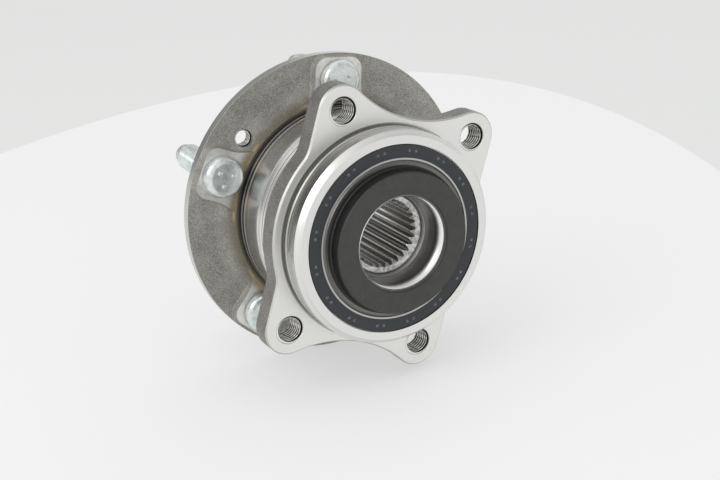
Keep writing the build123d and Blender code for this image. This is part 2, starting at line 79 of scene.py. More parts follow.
class Field:
    """A number that changes over a surface, written as Python and kept as shader nodes."""

    def __init__(self, graph: "Graph", socket: bpy.types.NodeSocket) -> None:
        """Wraps one output socket of a graph."""
        self.graph = graph
        self.socket = socket

    def __add__(self, other: "Value") -> "Field":
        """Sum."""
        return self.graph.math("ADD", self, other)

    def __radd__(self, other: "Value") -> "Field":
        """Sum with a plain number on the left."""
        return self.graph.math("ADD", other, self)

    def __sub__(self, other: "Value") -> "Field":
        """Difference."""
        return self.graph.math("SUBTRACT", self, other)

    def __rsub__(self, other: "Value") -> "Field":
        """Difference from a plain number, such as 1 - mask."""
        return self.graph.math("SUBTRACT", other, self)

    def __mul__(self, other: "Value") -> "Field":
        """Product."""
        return self.graph.math("MULTIPLY", self, other)

    def __rmul__(self, other: "Value") -> "Field":
        """Product with a plain number on the left."""
        return self.graph.math("MULTIPLY", other, self)

    def __truediv__(self, other: "Value") -> "Field":
        """Quotient."""
        return self.graph.math("DIVIDE", self, other)

    def __pow__(self, power: "Value") -> "Field":
        """Power."""
        return self.graph.math("POWER", self, power)

    def __mod__(self, step: "Value") -> "Field":
        """Remainder that is never negative, for what repeats."""
        return self.graph.math("FLOORED_MODULO", self, step)

    def __abs__(self) -> "Field":
        """Size without its sign."""
        return self.graph.math("ABSOLUTE", self)

    def sine(self) -> "Field":
        """Sine, of radians."""
        return self.graph.math("SINE", self)

    def cosine(self) -> "Field":
        """Cosine, of radians."""
        return self.graph.math("COSINE", self)

    def above(self, edge: float, soft: float) -> "Field":
        """Returns a mask that rises from 0 to 1 over a soft width centred on an edge."""
        return self.graph.ramp(self, edge - soft / 2, edge + soft / 2)

    def below(self, edge: float, soft: float) -> "Field":
        """Returns a mask that is 1 under an edge and 0 over it."""
        return self.graph.ramp(self, edge + soft / 2, edge - soft / 2)

    def between(self, low: float, high: float, soft: float) -> "Field":
        """Returns a mask that is 1 between two edges."""
        return self.above(low, soft) * self.below(high, soft)


class Arrow:
    """A vector that changes over a surface."""

    def __init__(self, graph: "Graph", socket: bpy.types.NodeSocket) -> None:
        """Wraps one vector output of a graph."""
        self.graph = graph
        self.socket = socket

    def __add__(self, other: "Arrow") -> "Arrow":
        """Sum of two vectors."""
        return self.graph.vector("ADD", self, other)

    def __mul__(self, scale: "Value") -> "Arrow":
        """The vector made longer or shorter."""
        return self.graph.vector("SCALE", self, scale=scale)

    def cross(self, other: "Arrow") -> "Arrow":
        """Vector at right angles to both."""
        return self.graph.vector("CROSS_PRODUCT", self, other)

    def unit(self) -> "Arrow":
        """The vector at length 1."""
        return self.graph.vector("NORMALIZE", self)


class Tint:
    """A colour that changes over a surface."""

    def __init__(self, socket: bpy.types.NodeSocket) -> None:
        """Wraps one colour output."""
        self.socket = socket


Value = Union[Field, float, int]
Paint = Union[Tint, Colour]


@dataclass(frozen=True)
class Place:
    """Where a point of a surface lies about the hub's axis, in millimetres and radians."""

    x: Field
    y: Field
    z: Field
    radius: Field
    angle: Field
    point: Arrow

    def profile(self) -> Field:
        """Returns a value that grows along a turned profile, whichever way it runs."""
        return self.radius + self.y * PROFILE_TILT

    def spoke_turn(self, first_deg: float, count: int) -> Field:
        """Returns the angle from the nearest of evenly spaced spokes, in radians."""
        step = 2.0 * math.pi / count
        return (self.angle + (step / 2 - math.radians(first_deg))) % step - step / 2


@dataclass(frozen=True)
class Look:
    """What one finish gives the shader: colour, gloss, tool marks as a slope, relief as a height."""

    colour: Paint
    roughness: Value
    metallic: Value = 1.0
    grooves: Value = 0.0
    relief: Value = 0.0
    lean: Value = 0.0

    def look(self, graph: "Graph", place: Place) -> "Look":
        """Returns itself, so that a plain look serves as a finish."""
        return self


class Finish(Protocol):
    """Anything that gives a look."""

    def look(self, graph: "Graph", place: Place) -> Look:
        """Returns the look at a place."""


class Graph:
    """The nodes of one material, or of the world, with short ways to add them."""

    def __init__(self, owner: bpy.types.Material | bpy.types.World) -> None:
        """Empties the node tree of its owner.

        Args:
            owner: The material or world that the nodes belong to.
        """
        self.owner = owner
        owner.use_nodes = True
        self.tree = owner.node_tree
        self.tree.nodes.clear()

    @classmethod
    def material(cls, name: str) -> "Graph":
        """Starts an empty material of that name."""
        return cls(bpy.data.materials.new(name))

    def node(
        self, kind: str, settings: dict[str, object] | None = None, **inputs: object
    ) -> bpy.types.Node:
        """Adds one node.

        Args:
            kind: Blender's type name of the node.
            settings: Properties of the node, set before its sockets.
            inputs: Values or links by socket name, with _ for a blank; a name like i0 is an index.

        Returns:
            The node.
        """
        made = self.tree.nodes.new(kind)
        for key, value in (settings or {}).items():
            setattr(made, key, value)
        for key, value in inputs.items():
            if key[0] == "i" and key[1:].isdigit():
                socket = made.inputs[int(key[1:])]
            else:
                socket = made.inputs[key.replace("_", " ")]
            self.put(value, socket)
        return made

    def put(self, value: object, socket: bpy.types.NodeSocket) -> None:
        """Sets or links one input socket.

        Args:
            value: A number, a tuple, or an output of another node.
            socket: The input socket.
        """
        if isinstance(value, (Field, Arrow, Tint)):
            value = value.socket
        if isinstance(value, bpy.types.NodeSocket):
            self.tree.links.new(value, socket)
        elif socket.type == "RGBA" and len(value) == 3:
            socket.default_value = (*value, 1.0)
        else:
            socket.default_value = value

    def math(self, operation: str, *values: Value) -> Field:
        """Adds a Math node for one operation on numbers.

        Args:
            operation: What the node does.
            values: Its numbers, in order.

        Returns:
            The result.
        """
        inputs = {f"i{index}": value for index, value in enumerate(values)}
        made = self.node("ShaderNodeMath", {"operation": operation}, **inputs)
        return Field(self, made.outputs[0])

    def vector(self, operation: str, *values: Arrow, scale: Value | None = None) -> Arrow:
        """Adds a Vector Math node for one operation on vectors.

        Args:
            operation: What the node does.
            values: Its vectors, in order.
            scale: Factor of the operation SCALE.

        Returns:
            The result.
        """
        inputs = {f"i{index}": value for index, value in enumerate(values)}
        if scale is not None:
            inputs["Scale"] = scale
        made = self.node("ShaderNodeVectorMath", {"operation": operation}, **inputs)
        return Arrow(self, made.outputs[0])

    def combine(self, x: Value, y: Value, z: Value) -> Arrow:
        """Joins three numbers into a vector."""
        return Arrow(self, self.node("ShaderNodeCombineXYZ", None, X=x, Y=y, Z=z).outputs[0])

    def ramp(
        self, value: Field, low: float, high: float, start: float = 0.0, end: float = 1.0
    ) -> Field:
        """Returns a smooth step of a value, from start at low to end at high.

        Args:
            value: The value that is stepped.
            low: Value at which the step begins.
            high: Value at which it ends, which may lie under low.
            start: Result at low.
            end: Result at high.

        Returns:
            The step.
        """
        made = self.node(
            "ShaderNodeMapRange", {"interpolation_type": "SMOOTHSTEP"},
            Value=value, From_Min=low, From_Max=high, To_Min=start, To_Max=end,
        )
        return Field(self, made.outputs[0])

    def blend(self, share: Value, low: Paint, high: Paint) -> Tint:
        """Returns a colour between two others."""
        made = self.node("ShaderNodeMix", {"data_type": "RGBA"}, i0=share, i6=low, i7=high)
        return Tint(made.outputs[2])

    def noise(
        self, point: Arrow, size: float, detail: float = 2.0, roughness: float = 0.5
    ) -> Field:
        """Returns a 3-D noise from 0 to 1 whose features are about one size wide, in millimetres.

        Args:
            point: Where it is read.
            size: Width of its features.
            detail: Number of finer layers.
            roughness: Strength of the finer layers.

        Returns:
            The noise.
        """
        made = self.node(
            "ShaderNodeTexNoise", {"noise_dimensions": "3D"},
            Vector=point, Scale=1.0 / size, Detail=detail, Roughness=roughness,
        )
        return Field(self, made.outputs[0])

    def line_noise(self, value: Field, size: float, detail: float = 1.0) -> Field:
        """Returns a 1-D noise from 0 to 1 along a value, with features about one size wide.

        Args:
            value: Where it is read.
            size: Width of its features.
            detail: Number of finer layers.

        Returns:
            The noise.
        """
        made = self.node(
            "ShaderNodeTexNoise", {"noise_dimensions": "1D"},
            W=value, Scale=1.0 / size, Detail=detail,
        )
        return Field(self, made.outputs[0])

    def cells(self, point: Arrow, size: float) -> Field:
        """Returns the distance to the nearest of many scattered points, about one size apart."""
        made = self.node("ShaderNodeTexVoronoi", None, Vector=point, Scale=1.0 / size)
        return Field(self, made.outputs[0])

    def kept(self, name: str) -> Field:
        """Returns a number that the mesh keeps at its points."""
        attribute = self.node("ShaderNodeAttribute", {"attribute_name": name})
        return Field(self, attribute.outputs["Fac"])

    def place(self) -> Place:
        """Returns where the shaded point lies about the hub's axis.

        Returns:
            The place, from the piece's Object coordinates.
        """
        coordinates = self.node("ShaderNodeTexCoord")
        point = self.vector("SCALE", Arrow(self, coordinates.outputs["Object"]), scale=1.0 / MM)
        split = self.node("ShaderNodeSeparateXYZ", None, Vector=point)
        x, y, z = (Field(self, socket) for socket in split.outputs)
        return Place(x, y, z, (x * x + z * z) ** 0.5, self.math("ARCTAN2", z, x), point)

    def mixed(self, under: Value, over: Value, mask: Value) -> Value:
        """Returns a number between two others by a mask, without nodes where both are the same.

        Args:
            under: Number where the mask is 0.
            over: Number where the mask is 1.
            mask: The mask.

        Returns:
            The number between them.
        """
        if not isinstance(under, Field) and not isinstance(over, Field) and under == over:
            return under
        return (over - under) * mask + under

    def lay(self, under: Look, over: Look, mask: Value) -> Look:
        """Returns one finish laid over another where a mask is 1.

        Args:
            under: Look where the mask is 0.
            over: Look where the mask is 1.
            mask: The mask.

        Returns:
            The layered look.
        """
        return Look(
            self.blend(mask, under.colour, over.colour),
            self.mixed(under.roughness, over.roughness, mask),
            self.mixed(under.metallic, over.metallic, mask),
            self.mixed(under.grooves, over.grooves, mask),
            self.mixed(under.relief, over.relief, mask),
            self.mixed(under.lean, over.lean, mask),
        )

    def coat(self, look: Look, place: Place, layers: Iterable[tuple[Finish, Value]]) -> Look:
        """Returns a look with finishes laid over it in turn, each where its mask is 1.

        Args:
            look: The look underneath.
            place: Where the shaded point lies.
            layers: Pairs of a finish and its mask, from the bottom up.

        Returns:
            The layered look.
        """
        for finish, mask in layers:
            look = self.lay(look, finish.look(self, place), mask)
        return look

    def seen(self) -> Field:
        """Returns 1 for rays that the camera, a mirror or glass sends, and 0 for those that light.

        Returns:
            The mask.
        """
        path = self.node("ShaderNodeLightPath")
        camera, glossy, through = (
            Field(self, path.outputs[kind])
            for kind in ("Is Camera Ray", "Is Glossy Ray", "Is Transmission Ray")
        )
        return self.math("MAXIMUM", self.math("MAXIMUM", camera, glossy), through)

    def hoop_marks(self, place: Place, slope: Value, lean: Value, feed: float) -> Arrow:
        """Returns the surface's normal, tilted as the fine rings of a turning tool tilt it.

        Every ring lies round the hub's axis, so the tilt is across the hoop direction, in the plane of
        the surface, and its size is a noise along the profile.

        Args:
            place: Where the point lies.
            slope: Greatest tilt of a ring's flank, as a tangent.
            lean: Tilt that all the rings share towards -Y on an outer face, because a tool's long
                flanks all face one way.
            feed: Distance between rings in millimetres.

        Returns:
            The tilted normal, in world space.
        """
        normal = Arrow(self, self.node("ShaderNodeNewGeometry").outputs["Normal"])
        hoop = self.combine(place.z * -1.0, 0.0, place.x)
        turned = self.node(
            "ShaderNodeVectorTransform",
            {"vector_type": "VECTOR", "convert_from": "OBJECT", "convert_to": "WORLD"},
            Vector=hoop,
        )
        across = normal.cross(Arrow(self, turned.outputs[0])).unit()
        fine = self.line_noise(place.profile(), feed, 2.0) - 0.5
        return (normal + across * (fine * slope * 2.0 + lean)).unit()

    def finish(self, look: Look, place: Place, feed: float = 0.05) -> bpy.types.Material:
        """Feeds a look to the shader.

        Args:
            look: The look, with every layer laid.
            place: Where the point lies.
            feed: Distance between the rings of a turned face, in millimetres.

        Returns:
            The finished material.
        """
        normal: Arrow | None = None
        if look.grooves != 0.0:
            normal = self.hoop_marks(place, look.grooves, look.lean, feed)
        if look.relief != 0.0:
            inputs = {"Height": look.relief, "Distance": MM, "Strength": 1.0}
            if normal is not None:
                inputs["Normal"] = normal
            normal = Arrow(self, self.node("ShaderNodeBump", None, **inputs).outputs[0])
        bent = {} if normal is None else {"Normal": normal}
        principled = self.node(
            "ShaderNodeBsdfPrincipled", None,
            Base_Color=look.colour, Roughness=look.roughness, Metallic=look.metallic, **bent,
        )
        self.node("ShaderNodeOutputMaterial", None, Surface=principled.outputs[0])
        return self.owner


@dataclass(frozen=True)
class ForgedSkin:
    """The skin that a forging keeps after it is shot-blasted: grey-brown, grainy and matt."""

    dark: Colour = (0.19, 0.186, 0.166)
    light: Colour = (0.53, 0.521, 0.478)
    grain: float = 0.45
    grain_height: float = 0.12
    roughness: float = 0.5
    metallic: float = 0.45
    mottle: float = 9.0
    mottle_share: float = 0.25
    contrast: tuple[float, float] = (0.28, 0.74)

    def look(self, graph: Graph, place: Place) -> Look:
        """Returns the look: a grain of dark pits and light peaks over a faint mottle.

        Args:
            graph: The material's nodes.
            place: Where the shaded point lies.

        Returns:
            The look there.
        """
        mottle = graph.noise(place.point, self.mottle, 3.0, 0.6)
        grain = graph.noise(place.point, self.grain, 2.0, 0.65)
        pits = graph.cells(place.point, self.grain * 1.5)
        tone = mottle * self.mottle_share + grain * (1.0 - self.mottle_share)
        colour = graph.blend(graph.ramp(tone, *self.contrast), self.dark, self.light)
        relief = (grain * 0.75 + pits * 0.4) * self.grain_height
        return Look(colour, self.roughness + (0.5 - grain) * 0.3, self.metallic, 0.0, relief)


@dataclass(frozen=True)
class TurnedSteel:
    """Steel from the lathe: bright, with fine rings that draw each highlight out across them."""

    colour: Colour
    roughness: float
    slope: float = 0.2
    band: float = 1.6
    depth: float = 0.1
    lean: float = 0.0
    contrast: tuple[float, float] = (0.3, 0.7)

    def look(self, graph: Graph, place: Place) -> Look:
        """Returns the look: faint bands along the profile, and rings as a slope.

        Args:
            graph: The material's nodes.
            place: Where the shaded point lies.

        Returns:
            The look there.
        """
        bands = graph.line_noise(place.profile(), self.band, 3.0)
        darker = tuple((1.0 - self.depth) * c for c in self.colour)
        colour = graph.blend(graph.ramp(bands, *self.contrast), darker, self.colour)
        rough = self.roughness + (bands - 0.5) * self.depth
        return Look(colour, rough, 1.0, self.slope, 0.0, self.lean)


@dataclass(frozen=True)
class GroundSteel:
    """Ground or broached steel: clear, and unevenly glossy."""

    colour: Colour
    roughness: float
    slope: float = 0.0

    def look(self, graph: Graph, place: Place) -> Look:
        """Returns the look: clear metal with a trace of rings."""
        film = graph.noise(place.point, 3.0, 2.0)
        return Look(self.colour, self.roughness + (film - 0.5) * 0.06, 1.0, self.slope)


@dataclass(frozen=True)
class MilledSteel:
    """A milled face: pale and nearly matt, with faint stains."""

    colour: Colour = (0.86, 0.845, 0.81)
    roughness: float = 0.4
    stain: float = 2.4
    stain_depth: float = 0.16
    contrast: tuple[float, float] = (0.28, 0.62)
    mark: float = 0.2
    mark_height: float = 0.008

    def look(self, graph: Graph, place: Place) -> Look:
        """Returns the look: faint stains, and a very fine relief.

        Args:
            graph: The material's nodes.
            place: Where the shaded point lies.

        Returns:
            The look there.
        """
        stain = graph.noise(place.point, self.stain, 3.0, 0.6)
        darker = tuple((1.0 - self.stain_depth) * c for c in self.colour)
        colour = graph.blend(graph.ramp(stain, *self.contrast), darker, self.colour)
        relief = graph.noise(place.point, self.mark, 1.0) * self.mark_height
        return Look(colour, self.roughness + (stain - 0.5) * 0.1, 1.0, 0.0, relief)


@dataclass(frozen=True)
class TappedSteel:
    """A cut thread: bright on its crests, with painted shade in its roots."""

    crest: Colour = (0.92, 0.91, 0.88)
    # Painted shade: near-black for the thread's roots.
    root: Colour = (0.015, 0.015, 0.013)
    roughness: float = 0.24
    dark_from: float = 0.3

    def look(self, graph: Graph, place: Place) -> Look:
        """Returns the look, by the depth that each point keeps."""
        # Painted shade: the deeper a point lies in the thread, the nearer its colour comes to near-black.
        share = graph.ramp(graph.kept(THREAD_DEPTH), 0.0, self.dark_from)
        return Look(graph.blend(share, self.crest, self.root), self.roughness + share * 0.2)


@dataclass(frozen=True)
class ZincPlate:
    """Bluish zinc plate on the studs: bright, with the soft unevenness of a barrel-plated part."""

    colour: Colour = (0.76, 0.81, 0.8)
    darker: Colour = (0.58, 0.625, 0.61)
    # Painted shade: dark grey for the thread's roots.
    root: Colour = (0.16, 0.17, 0.165)
    roughness: float = 0.24
    metallic: float = 0.7
    cloud: float = 2.6
    dent: float = 1.3
    dent_height: float = 0.03

    def look(self, graph: Graph, place: Place) -> Look:
        """Returns the look: cloudy colour and gloss over a dented relief, with painted shade in the
        thread.

        Args:
            graph: The material's nodes.
            place: Where the shaded point lies.

        Returns:
            The look there.
        """
        cloud = graph.noise(place.point, self.cloud, 3.0, 0.55)
        dents = graph.noise(place.point, self.dent, 2.0, 0.5)
        plate = graph.blend(graph.ramp(cloud, 0.3, 0.6), self.darker, self.colour)
        # Painted shade in the thread's roots, by depth.
        deep = graph.ramp(graph.kept(THREAD_DEPTH), 0.3, 1.0, 0.0, 0.8)
        colour = graph.blend(deep, plate, self.root)
        rough = self.roughness + (cloud - 0.5) * 0.16
        return Look(colour, rough, self.metallic, 0.0, dents * self.dent_height)


@dataclass(frozen=True)
class BlackCoat:
    """Black conversion coating on the rolled collar: smooth, dark and satin."""

    colour: Colour = (0.035, 0.037, 0.032)
    lighter: Colour = (0.044, 0.046, 0.04)
    roughness: float = 0.42
    slope: float = 0.012

    def look(self, graph: Graph, place: Place) -> Look:
        """Returns the look: satin black with a faint unevenness.

        Args:
            graph: The material's nodes.
            place: Where the shaded point lies.

        Returns:
            The look there.
        """
        film = graph.noise(place.point, 4.0, 3.0, 0.6)
        colour = graph.blend(graph.ramp(film, 0.3, 0.7), self.colour, self.lighter)
        return Look(colour, self.roughness + (film - 0.5) * 0.08, 0.0, self.slope)


@dataclass(frozen=True)
class MouldedBlack:
    """Moulded black rubber or nylon."""

    colour: Colour = (0.012, 0.012, 0.013)
    roughness: float = 0.5
    grain: float = 0.3
    grain_height: float = 0.012

    def look(self, graph: Graph, place: Place) -> Look:
        """Returns the look: matt black with a fine moulded grain.

        Args:
            graph: The material's nodes.
            place: Where the shaded point lies.

        Returns:
            The look there.
        """
        fine = graph.noise(place.point, self.grain, 2.0)
        rough = self.roughness + (fine - 0.5) * 0.15
        return Look(self.colour, rough, 0.0, 0.0, fine * self.grain_height)


@dataclass(frozen=True)
class LipRubber:
    """Black seal rubber, with a painted highlight as a pale line round its outer lip."""

    rubber: MouldedBlack = MouldedBlack()
    # Painted highlight: a pale, partly metallic line round the outer lip.
    wear_and_highlight: Look = Look((0.5, 0.5, 0.48), 0.35, 0.7)
    line_y: float = -11.2
    line_width: float = 0.7
    line_r: float = 45.4

    def look(self, graph: Graph, place: Place) -> Look:
        """Returns the look: moulded black, and the line by its height.

        Args:
            graph: The material's nodes.
            place: Where the shaded point lies.

        Returns:
            The look there.
        """
        half = self.line_width / 2
        line = place.y.between(self.line_y - half, self.line_y + half, 0.15)
        line = line * place.radius.above(self.line_r, 0.2)
        # Lays the painted highlight line over the black rubber.
        return graph.lay(self.rubber.look(graph, place), self.wear_and_highlight, line)


@dataclass(frozen=True)
class FlangeSizes:
    """Sizes of the hub flange and the spindle that the finishes follow."""

    rim_r: float = 68.65
    floor_y: float = -5.1
    boss_y: float = -8.2
    spotface_y: float = -7.7
    spotface_r: float = 9.6
    stud_pitch_r: float = 57.15
    stud_count: int = 5
    first_stud_deg: float = 159.0
    seal_face_r: float = 47.5
    seal_face_y: float = -8.7
    boss_reach: float = 17.5
    collar_y: float = -65.2
    collar_end_y: float = -71.3
    collar_side_r: float = 30.1
    bell_depth: float = 7.5
    mouth_r: float = 19.9
    mouth_round: float = 1.3
    mouth_round_bright: float = 0.35
    mouth_floor_y: float = -55.1
    floor_edge: float = 0.8
    foot_depth: float = 3.9
    spline_tip_r: float = 13.7
    disc_screw_r: float = 4.0
    disc_screw_pitch_r: float = 54.8
    disc_screw_degs: tuple[float, ...] = (139.9, 319.9)
    disc_screw_start: float = 0.05
    disc_screw_lead: float = 0.25
    disc_screw_pitch: float = 1.25
    disc_screw_depth: float = 0.7

    def stud_angles(self) -> np.ndarray:
        """Returns the studs' angles in degrees."""
        return self.first_stud_deg + np.arange(self.stud_count) * 360.0 / self.stud_count


def on_circle(pitch_r: float, angle_deg: float) -> tuple[float, float]:
    """Returns the X and Z of a point on a circle about the hub's axis."""
    at = math.radians(angle_deg)
    return pitch_r * math.cos(at), pitch_r * math.sin(at)


def dress(piece: bpy.types.Object, material: bpy.types.Material) -> None:
    """Puts one material on a piece or a solid, in place of its own."""
    piece.data.materials.clear()
    piece.data.materials.append(material)
    LOG.info("%s wears %s", piece.name, material.name)


def mesh_object(
    name: str, points: np.ndarray, faces: Sequence[Sequence[int]], sharp_deg: float = 32.0
) -> bpy.types.Object:
    """Makes an object from points and faces, smooth but for its sharp edges, with faces outwards.

    The faces point inwards where the volume under them, the sum of a . (b x c) over their triangles,
    is negative. Then all of them are turned over.

    Args:
        name: The piece's name.
        points: Rows of x, y, z in millimetres.
        faces: Corner indices of each face.
        sharp_deg: Edges that turn more than this stay sharp.

    Returns:
        The object, linked to the scene.
    """
    mesh = bpy.data.meshes.new(name)
    mesh.from_pydata((points * MM).tolist(), [], faces)
    mesh.polygons.foreach_set("use_smooth", np.ones(len(mesh.polygons), bool))
    mesh.validate()
    mesh.calc_loop_triangles()
    corners = np.empty(len(mesh.loop_triangles) * 3, np.int32)
    mesh.loop_triangles.foreach_get("vertices", corners)
    a, b, c = (points[corners.reshape(-1, 3)[:, k]] for k in range(3))
    if np.einsum("ij,ij->i", a, np.cross(b, c)).sum() < 0:
        mesh.flip_normals()
    mesh.set_sharp_from_angle(angle=math.radians(sharp_deg))
    made = bpy.data.objects.new(name, mesh)
    bpy.context.scene.collection.objects.link(made)
    return made


def turned_piece(
    name: str, profile: np.ndarray, around: int, shape: Change,
    axis_at: tuple[float, float] = (0.0, 0.0), ring: bool = False,
) -> bpy.types.Object:
    """Makes a piece of revolution about an axis along Y, with its radius and height changed by angle.

    The surface is (r cos a, y, r sin a), for each row (r, y) of the profile and each angle a.

    Args:
        name: The piece's name.
        profile: Rows of radius and y in millimetres. The first and last lie on the axis, unless
            ring is set.
        around: Number of steps round the axis.
        shape: Changes the arrays of radius and y.
        axis_at: X and Z of the axis.
        ring: True for a closed ring, whose last row joins the first.

    Returns:
        The object.
    """
    angle = np.linspace(0.0, 2.0 * np.pi, around, endpoint=False)[None, :]
    rows = profile if ring else profile[1:-1]
    radius, height = shape(
        np.repeat(rows[:, :1], around, 1),
        np.repeat(rows[:, 1:], around, 1),
        np.repeat(angle, len(rows), 0),
    )
    points = np.stack(
        [axis_at[0] + radius * np.cos(angle), height, axis_at[1] + radius * np.sin(angle)], axis=-1
    ).reshape(-1, 3)
    index = np.arange(len(rows) * around).reshape(len(rows), around)
    low = index if ring else index[:-1]
    high = np.roll(index, -1, 0) if ring else index[1:]
    quads = np.stack([low, np.roll(low, -1, 1), np.roll(high, -1, 1), high], axis=-1)
    quads = quads.reshape(-1, 4).tolist()
    if not ring:
        ends = np.array([[axis_at[0], profile[end, 1], axis_at[1]] for end in (0, -1)])
        first, last = len(points), len(points) + 1
        points = np.vstack([points, ends])
        near, far = index[0], index[-1]
        quads += np.stack([np.full(around, first), np.roll(near, -1), near], -1).tolist()
        quads += np.stack([np.full(around, last), far, np.roll(far, -1)], -1).tolist()
    return mesh_object(name, points, quads)


def thread_groove(y: np.ndarray, angle: np.ndarray, pitch: float) -> np.ndarray:
    """Returns the depth of a right-hand thread from 0 at its crest to 1 at its root.

    The phase is the share of a pitch that y has climbed less the share of a turn that the angle has
    made. The depth is a clipped triangle of that phase, so that crest and root are both flat.

    Args:
        y: Height of each point.
        angle: Angle of each point, in radians.
        pitch: The thread's pitch, in millimetres.

    Returns:
        The depth of each point.
    """
    phase = np.mod(y / pitch + angle / (2.0 * np.pi), 1.0)
    return np.clip(np.abs(phase - 0.5) * THREAD_RISE - THREAD_CREST, 0.0, 1.0)


def spaced(start: float, end: float, step: float) -> np.ndarray:
    """Returns evenly spaced values from start to end, about one step apart."""
    return np.linspace(start, end, max(2, int(round(abs(end - start) / step)) + 1))


def rows_along(radius: float, ys: Iterable[float]) -> list[list[float]]:
    """Returns profile rows at one radius."""
    return [[radius, float(y)] for y in ys]


def mark_depth(piece: bpy.types.Object, depth: np.ndarray) -> None:
    """Keeps as an attribute how deep each point lies in a thread, from 0 at its crest to 1 at its root.

    Args:
        piece: The piece, whose first points are the thread's.
        depth: Depth of each of those points.
    """
    attribute = piece.data.attributes.new(THREAD_DEPTH, "FLOAT", "POINT")
    values = np.zeros(len(piece.data.vertices), np.float32)
    values[: depth.size] = np.clip(depth.ravel(), 0.0, 1.0)
    attribute.data.foreach_set("value", values)


@dataclass
class StudSet:
    """The wheel studs: domed heads with raised dots, knurled shanks, threads and pilot noses."""

    sizes: FlangeSizes
    head_r: float = 9.0
    head_t: float = 5.1
    head_round: float = 2.8
    round_steps: int = 8
    head_grid: float = 0.2
    knurl_r: float = 6.45
    knurl_gap: float = 0.4
    knurl_end: float = -1.0
    knurl_teeth: int = 30
    knurl_depth: float = 0.3
    thread_r: float = 6.0
    thread_start: float = -0.5
    thread_depth: float = 0.85
    thread_fade: float = 0.4
    pitch: float = 1.5
    reach: float = 36.0
    nose_r: float = 4.8
    nose_length: float = 5.5
    lead: float = 1.2
    dot_count: int = 3
    dot_pitch_r: float = 3.6
    dot_r: float = 1.15
    dot_height: float = 0.42
    dot_turns_deg: tuple[float, ...] = (15.0, 75.0, 10.0, 52.0, 40.0)
    around: int = 120

    def head_top(self) -> float:
        """Returns the height of the head's flat top."""
        return self.sizes.spotface_y - self.head_t

    def thread_end(self) -> float:
        """Returns the height at which the thread ends."""
        return self.reach - self.nose_length - self.lead

    def profile(self) -> np.ndarray:
        """Returns the stud's profile, from the centre of its head to the tip of its nose.

        Returns:
            Rows of radius and y, in millimetres.
        """
        seat, top = self.sizes.spotface_y, self.head_top()
        flat_r = self.head_r - self.head_round
        rows = [[0.0, top]]
        rows += [[float(r), top] for r in spaced(self.head_grid, flat_r, self.head_grid)]
        for bend in np.linspace(0.0, np.pi / 2, self.round_steps + 1)[1:]:
            out, down = math.sin(bend), 1.0 - math.cos(bend)
            rows.append([flat_r + self.head_round * out, top + self.head_round * down])
        rows += [[self.head_r, seat], [self.knurl_r, seat]]
        rows += rows_along(self.knurl_r, (seat + self.knurl_gap, self.knurl_end))
        heights = spaced(self.thread_start, self.thread_end(), self.pitch / THREAD_ROWS)
        rows += rows_along(self.thread_r, heights)
        rows += [
            [self.nose_r, self.reach - self.nose_length],
            [self.nose_r, self.reach - self.lead],
            [self.nose_r - self.lead / 2, self.reach],
            [0.0, self.reach],
        ]
        return np.array(rows)

    def shape(self, turn_deg: float) -> Change:
        """Returns the change that adds dots, knurl and thread to a stud whose dots start at a turn.

        A dot is a squared cosine of the distance from its centre. The knurl is a cosine round the
        shank. The thread's groove fades in over one pitch at the shank and out before the nose.

        Args:
            turn_deg: Angle of the first dot about the stud's axis, in degrees.

        Returns:
            The change of the stud's radius and height.
        """

        def change(
            radius: np.ndarray, y: np.ndarray, angle: np.ndarray
        ) -> tuple[np.ndarray, np.ndarray]:
            """Changes the radius and y arrays of one stud.

            Args:
                radius: Radius of each point.
                y: Height of each point.
                angle: Angle of each point, in radians.

            Returns:
                The changed radius and height.
            """
            lifted = y.copy()
            on_top = np.abs(y - self.head_top()) < ON_ROW
            for k in range(self.dot_count):
                at = math.radians(turn_deg + 360.0 / self.dot_count * k)
                gap = np.hypot(
                    radius * np.cos(angle) - self.dot_pitch_r * math.cos(at),
                    radius * np.sin(angle) - self.dot_pitch_r * math.sin(at),
                )
                dot = np.cos(np.clip(gap / self.dot_r, 0.0, 1.0) * np.pi / 2) ** 2
                lifted -= np.where(on_top, dot * self.dot_height, 0.0)
            under_head = y > self.sizes.spotface_y + ON_ROW
            on_shank = (np.abs(radius - self.knurl_r) < ON_ROW) & under_head
            knurl = (0.5 - 0.5 * np.cos(angle * self.knurl_teeth)) * self.knurl_depth
            on_thread = np.abs(radius - self.thread_r) < ON_ROW
            fade_in = np.clip((y - self.thread_start) / self.pitch, 0.0, 1.0)
            fade_out = np.clip((self.thread_end() - y) / (self.thread_fade * self.pitch), 0.0, 1.0)
            groove = thread_groove(y, angle, self.pitch) * self.thread_depth * (fade_in * fade_out)
            cut = np.where(on_shank, knurl, 0.0) + np.where(on_thread, groove, 0.0)
            return radius - cut, lifted

        return change

    def depths(self, stud: bpy.types.Object, place: tuple[float, float]) -> np.ndarray:
        """Returns how deep each point of a stud lies in its thread.

        Args:
            stud: The stud's piece.
            place: X and Z of its axis.

        Returns:
            The depth of each point, from 0 at the crest to 1 at the root.
        """
        points = np.empty(len(stud.data.vertices) * 3, np.float32)
        stud.data.vertices.foreach_get("co", points)
        x, y, z = points.reshape(-1, 3).T / MM
        on_thread = (y > self.thread_start) & (y < self.thread_end() - ON_ROW)
        under_crest = self.thread_r - np.hypot(x - place[0], z - place[1])
        return np.where(on_thread, under_crest / self.thread_depth, 0.0)

    def build(self, material: bpy.types.Material) -> None:
        """Builds every stud over its solid.

        Args:
            material: The studs' finish.
        """
        profile = self.profile()
        turns = zip(self.sizes.stud_angles(), self.dot_turns_deg)
        for number, (angle, turn) in enumerate(turns, start=1):
            place = on_circle(self.sizes.stud_pitch_r, float(angle))
            name = f"threaded_stud_{number}"
            stud = turned_piece(name, profile, self.around, self.shape(turn), place)
            mark_depth(stud, self.depths(stud, place))
            dress(stud, material)
            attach(stud, "hub")
            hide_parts(f"wheel_stud_{number}")
            LOG.info("%s: %d faces", name, len(stud.data.polygons))


